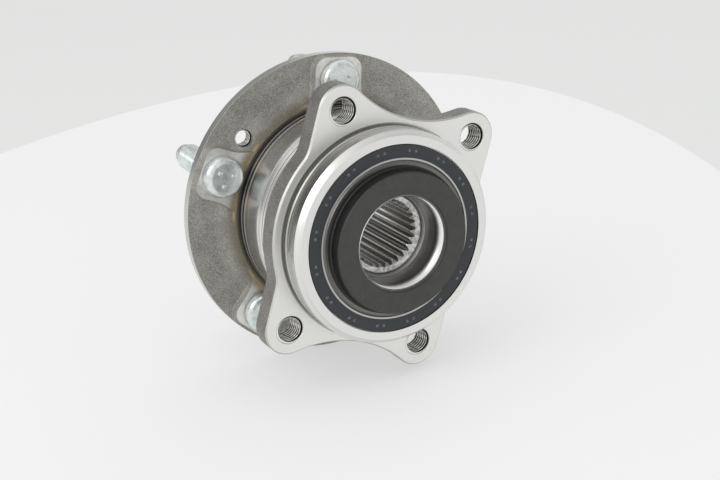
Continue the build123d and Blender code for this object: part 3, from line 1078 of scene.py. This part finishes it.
@dataclass
class TappedHole:
    """The thread in a tapped hole, as a ridge that stands inwards from the hole's wall."""

    name: str
    body: str
    at: tuple[float, float]
    start: float
    end: float
    wall_r: float
    pitch: float
    depth: float
    sunk: float = 0.02
    cut_back: float = 0.2
    around: int = 84
    slot: str = "forged_steel"

    def shape(
        self, radius: np.ndarray, y: np.ndarray, angle: np.ndarray
    ) -> tuple[np.ndarray, np.ndarray]:
        """Moves the inner wall to the thread's flank, and cuts both ends of the thread back to nothing.

        Args:
            radius: Radius of each point.
            y: Height of each point.
            angle: Angle of each point, in radians.

        Returns:
            The changed radius and height.
        """
        ends = np.minimum(y - self.start, self.end - y) / (self.cut_back * self.pitch)
        ridge = (1.0 - thread_groove(y, angle, self.pitch)) * self.depth * np.clip(ends, 0.0, 1.0)
        return np.where(radius < self.wall_r, radius - ridge, radius), y

    def build(self, material: bpy.types.Material) -> None:
        """Builds the ridge in its hole.

        Args:
            material: The thread's finish.
        """
        ys = spaced(self.start, self.end, self.pitch / THREAD_ROWS)
        inner = rows_along(self.wall_r - self.sunk, ys)
        outer = rows_along(self.wall_r + self.sunk, (self.end, self.start))
        profile = np.array(inner + outer)
        ridge = turned_piece(self.name, profile, self.around, self.shape, self.at, ring=True)
        angle = np.linspace(0.0, 2.0 * np.pi, self.around, endpoint=False)[None, :]
        mark_depth(ridge, thread_groove(ys[:, None], angle, self.pitch))
        dress(ridge, material)
        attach(ridge, self.body)
        LOG.info("%s: %d faces", self.name, len(ridge.data.polygons))


@dataclass
class Encoder:
    """The magnetic ring of the wheel speed sensor, moulded on the slinger, with pairs of round marks."""

    inner_r: float = 34.7
    outer_r: float = 40.2
    face_y: float = -64.9
    back_y: float = -64.0
    edge: float = 0.18
    edge_steps: int = 3
    face_grid: float = 0.16
    mark_r: float = 37.7
    mark_pairs: int = 16
    mark_half_gap: float = 1.55
    mark_size: float = 0.6
    mark_height: float = 0.1
    mark_soft: float = 0.35
    wear_size: float = 0.6
    least_worn: float = 0.15
    first_mark_deg: float = 78.75
    around: int = 1024
    rubber: MouldedBlack = MouldedBlack((0.025, 0.028, 0.031), 0.4, 0.25)
    wear_and_highlight: Look = Look((0.17, 0.2, 0.25), 0.35, 0.3)

    def profile(self) -> np.ndarray:
        """Returns the ring's closed profile, with small rounds at the edges of its face.

        Returns:
            Rows of radius and y, in millimetres.
        """
        low_r, high_r = self.inner_r + self.edge, self.outer_r - self.edge
        inner, outer = [], []
        for bend in np.linspace(0.0, np.pi / 2, self.edge_steps + 1):
            out, down = self.edge * (1 - math.cos(bend)), self.edge * (1 - math.sin(bend))
            inner.append([self.inner_r + out, self.face_y + down])
            outer.append([self.outer_r - down, self.face_y + out])
        face = [[float(r), self.face_y] for r in spaced(low_r, high_r, self.face_grid)[1:-1]]
        back = [[self.outer_r, self.back_y], [self.inner_r, self.back_y]]
        return np.array(inner + face + outer + back)

    def shape(
        self, radius: np.ndarray, y: np.ndarray, angle: np.ndarray
    ) -> tuple[np.ndarray, np.ndarray]:
        """Lifts the marks: each is a flat-topped bump, a fourth-power bell of the way from its centre.

        Args:
            radius: Radius of each point.
            y: Height of each point.
            angle: Angle of each point, in radians.

        Returns:
            The changed radius and height.
        """
        step = 2.0 * np.pi / self.mark_pairs
        turn = np.mod(angle - math.radians(self.first_mark_deg) + step / 2, step) - step / 2
        along = np.abs(turn * self.mark_r) - self.mark_half_gap
        out = radius - self.mark_r
        bell = np.exp(-((along / self.mark_size) ** 4) - (out / self.mark_size) ** 4)
        on_face = np.abs(y - self.face_y) < ON_ROW
        return radius, y - np.where(on_face, bell * self.mark_height, 0.0)

    def material(self) -> bpy.types.Material:
        """Returns satin rubber, a little bluish, and paler where the marks show wear.

        Returns:
            The material.
        """
        graph = Graph.material("magnetic_rubber")
        place = graph.place()
        turn = place.spoke_turn(self.first_mark_deg, self.mark_pairs)
        along = abs(abs(turn) * self.mark_r - self.mark_half_gap)
        out = abs(place.radius - self.mark_r)
        mark = along.below(self.mark_size, self.mark_soft) * out.below(self.mark_size, self.mark_soft)
        wear = graph.ramp(graph.noise(place.point, self.wear_size, 2.0), 0.35, 0.65, self.least_worn)
        look = self.rubber.look(graph, place)
        return graph.finish(graph.lay(look, self.wear_and_highlight, mark * wear), place)

    def build(self) -> None:
        """Builds the ring over its solid."""
        ring = turned_piece("moulded_encoder", self.profile(), self.around, self.shape, ring=True)
        dress(ring, self.material())
        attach(ring, "hub")
        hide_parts("encoder_ring")
        LOG.info("%s: %d faces", ring.name, len(ring.data.polygons))


@dataclass
class HubForging:
    """The hub flange and spindle: forged pockets, milled bosses, turned faces, and the black collar."""

    sizes: FlangeSizes
    feed: float = 0.08
    turned: TurnedSteel = TurnedSteel((0.64, 0.63, 0.61), 0.27, 0.2, 3.0, 0.05)
    forged: ForgedSkin = ForgedSkin()
    milled: MilledSteel = MilledSteel()
    gold: Colour = (0.36, 0.24, 0.1)
    straw: Colour = (0.5, 0.42, 0.27)
    olive: Colour = (0.1, 0.082, 0.045)
    wander: float = 2.0
    brown_reach: float = 8.0
    brown_full: float = 0.8
    brown_share: float = 0.8
    gold_reach: float = 5.2
    gold_full: float = 2.0
    gold_share: float = 0.7
    mouth_wall: TurnedSteel = TurnedSteel((0.56, 0.555, 0.54), 0.32, 0.16, 2.4, 0.2)
    # Painted highlight: near-white metal that ramps in towards the mouth's lip, with normals tilted as on
    # a flare.
    lip_painted_highlight: Look = Look((0.97, 0.965, 0.95), 0.24, 1.0, 0.06, 0.0, -1.15)
    # Painted shade: dark grey at the foot of the mouth's wall, in the corner by the floor.
    mouth_foot_shade: Look = Look((0.16, 0.158, 0.152), 0.5)
    floor_stain: Colour = (0.5, 0.495, 0.485)
    floor_pale: Colour = (0.95, 0.945, 0.94)
    spline_root: GroundSteel = GroundSteel((0.36, 0.355, 0.34), 0.32)
    # Painted highlight: the spline teeth's tips are pale, against the darker broached steel of the bore.
    spline_tip_highlight: GroundSteel = GroundSteel((0.84, 0.83, 0.81), 0.25)
    collar_face: BlackCoat = BlackCoat()
    # Painted shade: the collar's side wears the same black coat as its face, made darker.
    shaded_collar_side: BlackCoat = BlackCoat((0.007, 0.007, 0.007), (0.01, 0.01, 0.01), 0.55)

    def material(self) -> bpy.types.Material:
        """Returns one material whose finish follows the zones of the forging.

        Returns:
            The material.
        """
        graph = Graph.material("hub_forging")
        place = graph.place()
        s = self.sizes
        turn = place.spoke_turn(s.first_stud_deg, s.stud_count)
        aside = place.radius * turn.sine()
        pockets = place.y.between(s.seal_face_y - 0.05, s.floor_y + 0.35, 0.08)
        pockets = pockets * place.radius.between(s.seal_face_r - 3.0, s.rim_r - 0.12, 0.1)
        look = self.turned.look(graph, place)
        look = graph.coat(look, place, [
            (self.forged, pockets),
            (self.milled, self.bosses(graph, place, turn, aside)),
        ])
        look = self.heated(graph, place, look, aside)
        look = graph.coat(look, place, self.mouth_layers(graph, place) + self.collar_layers(place))
        return graph.finish(look, place, self.feed)

    def bosses(self, graph: Graph, place: Place, turn: Field, aside: Field) -> Field:
        """Returns a mask of the milled faces: the bosses' tops, and the seats of the studs' heads.

        Args:
            graph: The material's nodes.
            place: Where the shaded point lies.
            turn: Angle from the nearest stud, in radians.
            aside: Distance from the line that joins the axis and the nearest stud.

        Returns:
            The mask.
        """
        s = self.sizes
        reach = place.radius * turn.cosine() - s.stud_pitch_r
        from_stud = (reach * reach + aside * aside) ** 0.5
        top = place.y.between(s.boss_y - 0.02, s.boss_y + 0.06, 0.03)
        top = top * place.radius.above(s.seal_face_r + 0.9, 0.2)
        top = top * abs(aside).below(s.boss_reach, 0.2)
        seat = place.y.between(s.spotface_y - 0.1, s.spotface_y + 0.1, 0.05)
        return graph.math("MAXIMUM", top, seat * from_stud.below(s.spotface_r, 0.2))

    def heated(self, graph: Graph, place: Place, look: Look, aside: Field) -> Look:
        """Adds the oxide that heat leaves: brown round the seal, and gold on the bosses' inner ends.

        Args:
            graph: The material's nodes.
            place: Where the shaded point lies.
            look: The look so far.
            aside: Distance from the line that joins the axis and the nearest stud.

        Returns:
            The look with the oxide on it.
        """
        s = self.sizes
        far = place.radius + graph.noise(place.point, 4.0, 2.0) * self.wander
        behind = place.y.below(s.floor_y - 0.1, 0.2) * place.y.above(s.seal_face_y - 0.4, 0.2)
        brown = graph.ramp(far, s.seal_face_r + self.brown_reach, s.seal_face_r + self.brown_full) * behind
        oxide = Look(self.olive, 0.45, 0.6, 0.0, look.relief)
        look = graph.lay(look, oxide, brown * self.brown_share)
        film = graph.noise(place.point, 1.5, 3.0)
        gold = Look(graph.blend(film, self.gold, self.straw), 0.42, 0.9)
        end = graph.ramp(far, s.seal_face_r + self.gold_reach, s.seal_face_r + self.gold_full)
        end = end * abs(aside).below(s.boss_reach, 4.0) * place.radius.above(s.seal_face_r + 0.7, 0.8)
        end = end * behind * place.y.below(s.boss_y + 0.5, 0.6)
        return graph.lay(look, gold, end * self.gold_share)

    def inner_edge(self) -> float:
        """Returns the radius at which the collar's coat ends and the bright mouth begins."""
        return self.sizes.mouth_r + self.sizes.mouth_round * self.sizes.mouth_round_bright

    def mouth_layers(self, graph: Graph, place: Place) -> list[tuple[Finish, Value]]:
        """Returns the layers of the mouth, from its lip's painted highlight to its foot's painted shade
        and its pale floor, and of the bore with the painted highlights on its teeth.

        Args:
            graph: The material's nodes.
            place: Where the shaded point lies.

        Returns:
            Pairs of a finish and its mask, from the bottom up.
        """
        s = self.sizes
        mouth = place.y.below(s.mouth_floor_y + 0.1, 0.1) * place.radius.below(self.inner_edge(), 0.15)
        lip = graph.ramp(place.y, s.collar_end_y + s.bell_depth, s.collar_end_y)
        floor_start = s.mouth_floor_y - s.floor_edge
        foot = graph.ramp(place.y, s.mouth_floor_y - s.foot_depth, floor_start)
        floor = place.y.above(floor_start, 0.4) * place.radius.above(s.spline_tip_r, 0.1) * mouth
        stain = graph.ramp(graph.noise(place.point, 1.6, 3.0, 0.6), 0.35, 0.62)
        pale = Look(graph.blend(stain, self.floor_stain, self.floor_pale), 0.5, 0.35)
        bore = place.radius.below(s.spline_tip_r + 1.6, 0.1)
        bore = bore * place.y.above(s.mouth_floor_y + 0.05, 0.05)
        return [
            (self.mouth_wall, mouth),
            (self.lip_painted_highlight, mouth * lip),
            # Painted shade at the foot of the mouth's wall.
            (self.mouth_foot_shade, mouth * foot),
            (pale, floor),
            (self.spline_root, bore),
            # Painted highlight on the teeth's tips.
            (self.spline_tip_highlight, place.radius.below(s.spline_tip_r + 0.12, 0.08) * bore),
        ]

    def collar_layers(self, place: Place) -> list[tuple[Finish, Value]]:
        """Returns the layers of the rolled collar: its coated face, and its side, painted darker as shade.

        Args:
            place: Where the shaded point lies.

        Returns:
            Pairs of a finish and its mask, from the bottom up.
        """
        collar = place.y.below(self.sizes.collar_y, 0.1) * place.radius.above(self.inner_edge(), 0.15)
        side = collar * place.radius.above(self.sizes.collar_side_r, 0.3)
        return [(self.collar_face, collar), (self.shaded_collar_side, side)]

    def build(self, nodes: dict[str, bpy.types.Object], tapped: bpy.types.Material) -> None:
        """Gives the forging its material, and the disc screw holes their threads.

        Args:
            nodes: The solids, by name.
            tapped: The finish of the threads.
        """
        dress(nodes["hub_flange"], self.material())
        s = self.sizes
        for number, angle in enumerate(s.disc_screw_degs, start=1):
            TappedHole(
                f"disc_screw_thread_{number}", "hub", on_circle(s.disc_screw_pitch_r, angle),
                s.floor_y + s.disc_screw_start, -s.disc_screw_lead, s.disc_screw_r,
                s.disc_screw_pitch, s.disc_screw_depth,
            ).build(tapped)


@dataclass
class OuterRing:
    """The outer ring: turned barrel and pilot, a machined knuckle face, forged edges and tapped ears."""

    ring_r: float = 46.0
    step_y: float = -28.0
    # Painted dark reflection on the pilot: the direction round the axis that it faces, its share, and the
    # cosines at which it starts and is full.
    dark_reflection_toward: tuple[float, float] = (-0.85, 0.53)
    dark_reflection_share: float = 0.9
    dark_reflection_start: float = 0.76
    dark_reflection_full: float = 0.96
    streak: float = 0.3
    streaks_round: float = 5.0
    streaks_along: float = 0.4
    barrel_lines: tuple[float, ...] = (-33.4, -38.6)
    line_width: float = 0.6
    knuckle_face_y: float = -53.0
    knuckle_back_y: float = -42.1
    knuckle_edge: float = 0.7
    groove_r: float = 47.1
    # Radial width of the painted highlight ring at the groove's edge.
    groove_highlight_width: float = 0.35
    neck_r: float = 48.7
    turn_deg: float = -15.8
    ear_x: float = 32.2
    ear_z: float = 46.6
    bore_r: float = 6.0
    bore_lead: float = 0.25
    thread_pitch: float = 1.5
    thread_depth: float = 0.85
    end_y: float = -65.1
    foot_height: float = 4.3
    pilot_chamfer: float = 2.3
    pilot_end_r: float = 44.0
    feed: float = 0.06
    turned: TurnedSteel = TurnedSteel((0.62, 0.615, 0.605), 0.2, 0.2, 1.1, 0.3)
    # Painted dark reflection: a dark colour laid on the side of the ring that faces up and towards -X.
    painted_dark_reflection: Look = Look((0.17, 0.167, 0.158), 0.24, 1.0, 0.2)
    barrel: TurnedSteel = TurnedSteel((0.9, 0.89, 0.87), 0.26, 0.3, 1.7, 0.34, 0.36)
    barrel_line: TurnedSteel = TurnedSteel((0.34, 0.335, 0.32), 0.3, 0.2, 1.0, 0.1)
    # Darker steel on the barrel near the flange: partly painted shade under the flange, partly a smoother
    # finish.
    near_seal: TurnedSteel = TurnedSteel((0.62, 0.615, 0.61), 0.24, 0.16, 2.6, 0.14)
    knuckle_face: TurnedSteel = TurnedSteel((0.87, 0.865, 0.845), 0.45, 0.04, 9.0, 0.03)
    face_edge: TurnedSteel = TurnedSteel((0.6, 0.59, 0.55), 0.45, 0.04, 9.0, 0.03)
    # Painted highlight: a near-white ring on the face at the groove's edge, where the edge would catch the
    # light.
    painted_edge_highlight: Look = Look((0.99, 0.985, 0.97), 0.5)
    groove: TurnedSteel = TurnedSteel((0.66, 0.66, 0.62), 0.36, 0.1, 1.0, 0.1)
    # Painted shadow: a darker grey in the inner part of the groove at the pilot's foot.
    groove_painted_shadow: Look = Look((0.34, 0.34, 0.31), 0.4)
    pilot_foot: TurnedSteel = TurnedSteel((0.56, 0.56, 0.53), 0.3, 0.2, 0.9, 0.3)
    pilot_bevel: TurnedSteel = TurnedSteel((0.83, 0.825, 0.805), 0.35, 0.12, 1.4, 0.1)
    end_face: TurnedSteel = TurnedSteel((0.84, 0.835, 0.82), 0.45, 0.04, 9.0, 0.02)
    forged: ForgedSkin = ForgedSkin((0.12, 0.114, 0.103), (0.36, 0.347, 0.322), 0.55, 0.11)

    def ears(self) -> list[tuple[float, float]]:
        """Returns the X and Z of the four tapped holes.

        Returns:
            One pair for each hole, in millimetres.
        """
        turn = math.radians(self.turn_deg)
        cos, sin = math.cos(turn), math.sin(turn)
        corners = [(x, z) for x in (-self.ear_x, self.ear_x) for z in (-self.ear_z, self.ear_z)]
        return [(x * cos - z * sin, x * sin + z * cos) for x, z in corners]

    def material(self) -> bpy.types.Material:
        """Returns one material whose finish follows the ring's zones.

        Returns:
            The material.
        """
        graph = Graph.material("bearing_outer_ring")
        place = graph.place()
        look = self.turned.look(graph, place)
        layers = self.barrel_layers(graph, place) + self.face_layers(place) + self.pilot_layers(place)
        layers.append((self.forged, self.forged_edges(graph, place)))
        return graph.finish(graph.coat(look, place, layers), place, self.feed)

    def barrel_layers(self, graph: Graph, place: Place) -> list[tuple[Finish, Value]]:
        """Returns the layers of the pilot's painted dark reflection, and of the barrel up to the seal.

        Args:
            graph: The material's nodes.
            place: Where the shaded point lies.

        Returns:
            Pairs of a finish and its mask, from the bottom up.
        """
        # Mask of the painted dark reflection: one side of the ring by direction round the axis, broken
        # into streaks.
        toward = (place.x * self.dark_reflection_toward[0] + place.z * self.dark_reflection_toward[1]) / place.radius
        point = graph.combine(place.angle * self.streaks_round, place.y * self.streaks_along, 0.0)
        streaks = (graph.noise(point, 1.0, 3.0) - 0.5) * self.streak
        film = graph.ramp(toward + streaks, self.dark_reflection_start, self.dark_reflection_full)
        lines = [place.y.between(y, y + self.line_width, 0.15) for y in self.barrel_lines]
        return [
            (self.painted_dark_reflection, film * self.dark_reflection_share),
            (self.barrel, place.y.above(self.knuckle_back_y, 0.2)),
            *((self.barrel_line, line) for line in lines),
            # Partly painted shade under the flange, partly a smoother finish.
            (self.near_seal, graph.ramp(place.y, self.step_y - 1.0, self.step_y + 4.0)),
        ]

    def face_layers(self, place: Place) -> list[tuple[Finish, Value]]:
        """Returns the layers of the knuckle's face, of its edge, and of the painted highlight ring at the
        groove.

        Args:
            place: Where the shaded point lies.

        Returns:
            Pairs of a finish and its mask, from the bottom up.
        """
        face_y = self.knuckle_face_y
        front = place.y.between(face_y - 0.1, face_y + 0.05, 0.04)
        edge = place.y.between(face_y + 0.04, face_y + self.knuckle_edge, 0.04)
        # Mask of the painted highlight ring at the groove's edge.
        edge_highlight = place.radius.between(self.groove_r, self.groove_r + self.groove_highlight_width, 0.12)
        return [
            (self.knuckle_face, front * place.radius.above(self.groove_r, 0.1)),
            (self.face_edge, edge * place.radius.above(self.neck_r, 0.1)),
            (self.painted_edge_highlight, front * edge_highlight),
        ]

    def pilot_layers(self, place: Place) -> list[tuple[Finish, Value]]:
        """Returns the layers of the groove at the pilot's foot with its painted shadow, and of its foot,
        bevel and end face.

        Args:
            place: Where the shaded point lies.

        Returns:
            Pairs of a finish and its mask, from the bottom up.
        """
        face_y = self.knuckle_face_y
        groove = place.y.between(face_y - 0.2, self.knuckle_back_y - 2.0, 0.1)
        groove = groove * place.radius.below(self.groove_r + 0.05, 0.05)
        foot = place.y.above(face_y - self.foot_height, 2.0) * place.y.below(face_y - 0.05, 0.1)
        bevel = place.y.between(self.end_y + 0.05, self.end_y + self.pilot_chamfer, 0.05)
        return [
            (self.groove, groove),
            (self.groove_painted_shadow, groove * place.radius.below(self.ring_r + 0.5, 0.15)),
            (self.pilot_foot, foot * place.radius.above(self.ring_r - 0.3, 0.1)),
            (self.pilot_bevel, bevel * place.radius.between(self.pilot_end_r, self.ring_r - 0.03, 0.03)),
            (self.end_face, place.y.below(self.end_y + 0.1, 0.1)),
        ]

    def forged_edges(self, graph: Graph, place: Place) -> Field:
        """Returns a mask of the knuckle flange's forged edges, apart from the walls of the ears' holes.

        Args:
            graph: The material's nodes.
            place: Where the shaded point lies.

        Returns:
            The mask.
        """
        gap: Field | None = None
        for x, z in self.ears():
            away = ((place.x - x) * (place.x - x) + (place.z - z) * (place.z - z)) ** 0.5
            gap = away if gap is None else graph.math("MINIMUM", gap, away)
        low, high = self.knuckle_face_y + self.knuckle_edge, self.knuckle_back_y + 0.3
        wall = place.y.between(low, high, 0.12) * place.radius.above(self.neck_r, 0.1)
        return wall * gap.above(self.bore_r + 0.3, 0.05)

    def build(self, nodes: dict[str, bpy.types.Object], tapped: bpy.types.Material) -> None:
        """Gives the ring its material, and the ears their threads.

        Args:
            nodes: The solids, by name.
            tapped: The finish of the threads.
        """
        dress(nodes["outer_ring"], self.material())
        for number, place in enumerate(self.ears(), start=1):
            TappedHole(
                f"ear_thread_{number}", "knuckle_side", place,
                self.knuckle_face_y + self.bore_lead, self.knuckle_back_y - self.bore_lead,
                self.bore_r, self.thread_pitch, self.thread_depth,
            ).build(tapped)


class PlainFinish(Enum):
    """Finishes of the pieces that have one finish all over."""

    BEARING_STEEL = "bearing_steel"
    BALL_STEEL = "ball_steel"
    SEAL_STEEL = "seal_steel"
    SEAL_RUBBER = "seal_rubber"
    CAGE_NYLON = "cage_nylon"
    ZINC = "zinc_plated_steel"
    TAPPED = "tapped_steel"
    SLINGER = "slinger_steel"

    @classmethod
    def of_solid(cls, name: str) -> "PlainFinish | None":
        """Returns the finish of a solid that has one all over, by the solid's name.

        Args:
            name: The solid's name.

        Returns:
            The finish, or None for a solid that has a class of its own.
        """
        by_part = {
            "_ball_": cls.BALL_STEEL, "_cage": cls.CAGE_NYLON, "_seal_lip": cls.SEAL_RUBBER,
            "_seal_case": cls.SEAL_STEEL, "slinger": cls.SLINGER, "inner_ring": cls.BEARING_STEEL,
        }
        return next((finish for part, finish in by_part.items() if part in name), None)

    def material(self) -> bpy.types.Material:
        """Returns the material of this finish.

        Returns:
            The material.
        """
        recipe = {
            PlainFinish.BEARING_STEEL: TurnedSteel((0.2, 0.196, 0.186), 0.32, 0.12, 0.8, 0.3),
            PlainFinish.BALL_STEEL: GroundSteel((0.72, 0.72, 0.73), 0.05),
            PlainFinish.SEAL_STEEL: GroundSteel((0.86, 0.85, 0.82), 0.36, 0.03),
            PlainFinish.SEAL_RUBBER: LipRubber(),
            PlainFinish.CAGE_NYLON: MouldedBlack((0.05, 0.05, 0.048), 0.45, 0.4),
            PlainFinish.ZINC: ZincPlate(),
            PlainFinish.TAPPED: TappedSteel(),
            PlainFinish.SLINGER: GroundSteel((0.5, 0.5, 0.485), 0.34, 0.05),
        }[self]
        graph = Graph.material(self.value)
        place = graph.place()
        return graph.finish(recipe.look(graph, place), place)


@dataclass(frozen=True)
class DimPatch:
    """A dim part of the room: a cone about a direction, by the cosines at which it starts and is full."""

    toward: tuple[float, float, float]
    start: float
    full: float
    depth: float


@dataclass
class Studio:
    """Camera, soft light and the pale floor, with sizes in metres."""

    camera_at: tuple[float, float, float] = (-0.24538, -0.48577, 0.16017)
    yaw: float = 0.49705
    pitch: float = -0.3180
    focal_px: float = 1238.8
    image_width_px: float = 720.0
    sensor_mm: float = 36.0
    nearest: float = 0.01
    farthest: float = 100.0
    box_at: tuple[float, float, float] = (-1.2, -0.5, 0.8)
    box_size: float = 0.9
    box_watts: float = 5.0
    floor_half: float = 6.0
    floor_z: float = -0.06865
    paper: Colour = (0.93, 0.935, 0.932)
    table: Colour = (0.83, 0.84, 0.828)
    paper_roughness: float = 0.7
    paper_gloss: float = 0.1
    glow_share: float = 0.5
    sheet_at: tuple[float, float] = (-0.035, 0.019)
    sheet_turn: float = 0.654
    sheet_half: tuple[float, float] = (0.3, 0.701)
    sheet_plain: float = 0.3
    sky_plain: float = 1.0
    sky_seen: float = 0.94
    dim_patches: tuple[DimPatch, ...] = (
        DimPatch((0.2, -1.0, 0.4), 0.6, 0.9, 0.12),
        DimPatch((-0.75, 0.6, 0.25), 0.85, 0.97, 0.6),
        DimPatch((-0.2, 1.0, 0.45), 0.75, 0.95, 0.6),
        DimPatch((0.8, -0.5, 0.9), 0.6, 0.95, 0.3),
    )

    def camera(self) -> None:
        """Adds the camera at the photograph's viewing angle."""
        data = bpy.data.cameras.new("camera")
        data.sensor_width = self.sensor_mm
        data.lens = self.focal_px * self.sensor_mm / self.image_width_px
        data.clip_start, data.clip_end = self.nearest, self.farthest
        camera = bpy.data.objects.new("camera", data)
        camera.location = self.camera_at
        camera.rotation_euler = (math.pi / 2 + self.pitch, 0.0, -self.yaw)
        bpy.context.scene.collection.objects.link(camera)
        bpy.context.scene.camera = camera

    def floor(self) -> None:
        """Adds the floor under the flange's rim."""
        h = self.floor_half
        mesh = bpy.data.meshes.new("floor")
        mesh.from_pydata([(-h, -h, 0), (h, -h, 0), (h, h, 0), (-h, h, 0)], [], [(0, 1, 2, 3)])
        floor = bpy.data.objects.new("floor", mesh)
        floor.location = (0.0, 0.0, self.floor_z)
        dress(floor, self.sweep())
        bpy.context.scene.collection.objects.link(floor)

    def sweep(self) -> bpy.types.Material:
        """Returns the floor's finish: a white paper sheet on a slightly darker table.

        Rays that the camera or a mirror sends see the plain colour and the lit floor in equal shares,
        which softens the shadow.

        Returns:
            The material.
        """
        graph = Graph.material("floor")
        place = graph.place()
        x, y = place.x - self.sheet_at[0] / MM, place.y - self.sheet_at[1] / MM
        cos, sin = math.cos(self.sheet_turn), math.sin(self.sheet_turn)
        half, length = self.sheet_half
        along = (x * sin + y * cos) / (length / MM)
        aside = (x * cos - y * sin) / (half / MM)
        reach = (along * along + aside * aside) ** 0.5
        sheet = graph.math("MAXIMUM", reach.below(1.0, 0.01), along.below(self.sheet_plain, 0.02))
        colour = graph.blend(sheet, self.table, self.paper)
        lit = graph.node(
            "ShaderNodeBsdfPrincipled", None,
            Base_Color=colour, Roughness=self.paper_roughness, Specular_IOR_Level=self.paper_gloss,
        )
        plain = graph.node("ShaderNodeEmission", None, Color=colour, Strength=1.0)
        share = graph.seen() * self.glow_share
        mixed = graph.node("ShaderNodeMixShader", None, i0=share, i1=lit.outputs[0], i2=plain.outputs[0])
        graph.node("ShaderNodeOutputMaterial", None, Surface=mixed.outputs[0])
        return graph.owner

    def soft_box(self) -> None:
        """Adds a square soft box that faces the hub."""
        data = bpy.data.lights.new("left_box", "AREA")
        data.shape, data.size, data.energy = "SQUARE", self.box_size, self.box_watts
        lamp = bpy.data.objects.new("left_box", data)
        lamp.location = self.box_at
        lamp.rotation_euler = Vector(self.box_at).to_track_quat("Z", "Y").to_euler()
        bpy.context.scene.collection.objects.link(lamp)

    def world(self) -> None:
        """Adds a white surround that lights the object at a plain level and shows as white."""
        world = bpy.data.worlds.new("studio")
        bpy.context.scene.world = world
        graph = Graph(world)
        strength = graph.node(
            "ShaderNodeMapRange", None, Value=graph.seen(), To_Min=self.sky_plain, To_Max=self.sky_seen
        )
        background = graph.node(
            "ShaderNodeBackground", None, Color=self.surround(graph), Strength=strength.outputs[0]
        )
        graph.node("ShaderNodeOutputWorld", None, Surface=background.outputs[0])

    def surround(self, graph: Graph) -> Tint:
        """Returns the surround's colour by direction: white, but for the dim room round the soft box.

        Args:
            graph: The world's nodes.

        Returns:
            The colour, between black and white.
        """
        direction = graph.node("ShaderNodeTexCoord").outputs["Generated"]
        shade: Field | None = None
        for patch in self.dim_patches:
            axis = Vector(patch.toward).normalized()
            dot = graph.node("ShaderNodeVectorMath", {"operation": "DOT_PRODUCT"}, i0=direction, i1=axis)
            cosine = Field(graph, dot.outputs["Value"])
            dim = graph.ramp(cosine, patch.start, patch.full, 1.0, 1.0 - patch.depth)
            shade = dim if shade is None else shade * dim
        return graph.blend(shade, (0.0, 0.0, 0.0), (1.0, 1.0, 1.0))

    def build(self) -> None:
        """Builds the studio."""
        self.camera()
        self.floor()
        self.world()
        self.soft_box()
        bpy.context.scene.view_settings.view_transform = "Standard"


def corners(pair: Iterable[Sequence[float]]) -> list[list[float]]:
    """Returns the two corners of a box as plain lists."""
    return [[float(v) for v in corner] for corner in pair]


def main() -> None:
    """Builds every finish and piece in order."""
    logging.basicConfig(level=logging.INFO, format="%(name)s: %(message)s")
    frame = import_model()
    nodes = frame["nodes"]
    sizes = FlangeSizes()
    Studio().build()
    plain = {finish: finish.material() for finish in PlainFinish}
    for name, node in nodes.items():
        finish = PlainFinish.of_solid(name)
        if finish is not None:
            dress(node, plain[finish])
    HubForging(sizes).build(nodes, plain[PlainFinish.TAPPED])
    OuterRing().build(nodes, plain[PlainFinish.TAPPED])
    StudSet(sizes).build(plain[PlainFinish.ZINC])
    Encoder().build()


if __name__ == "__main__":
    main()
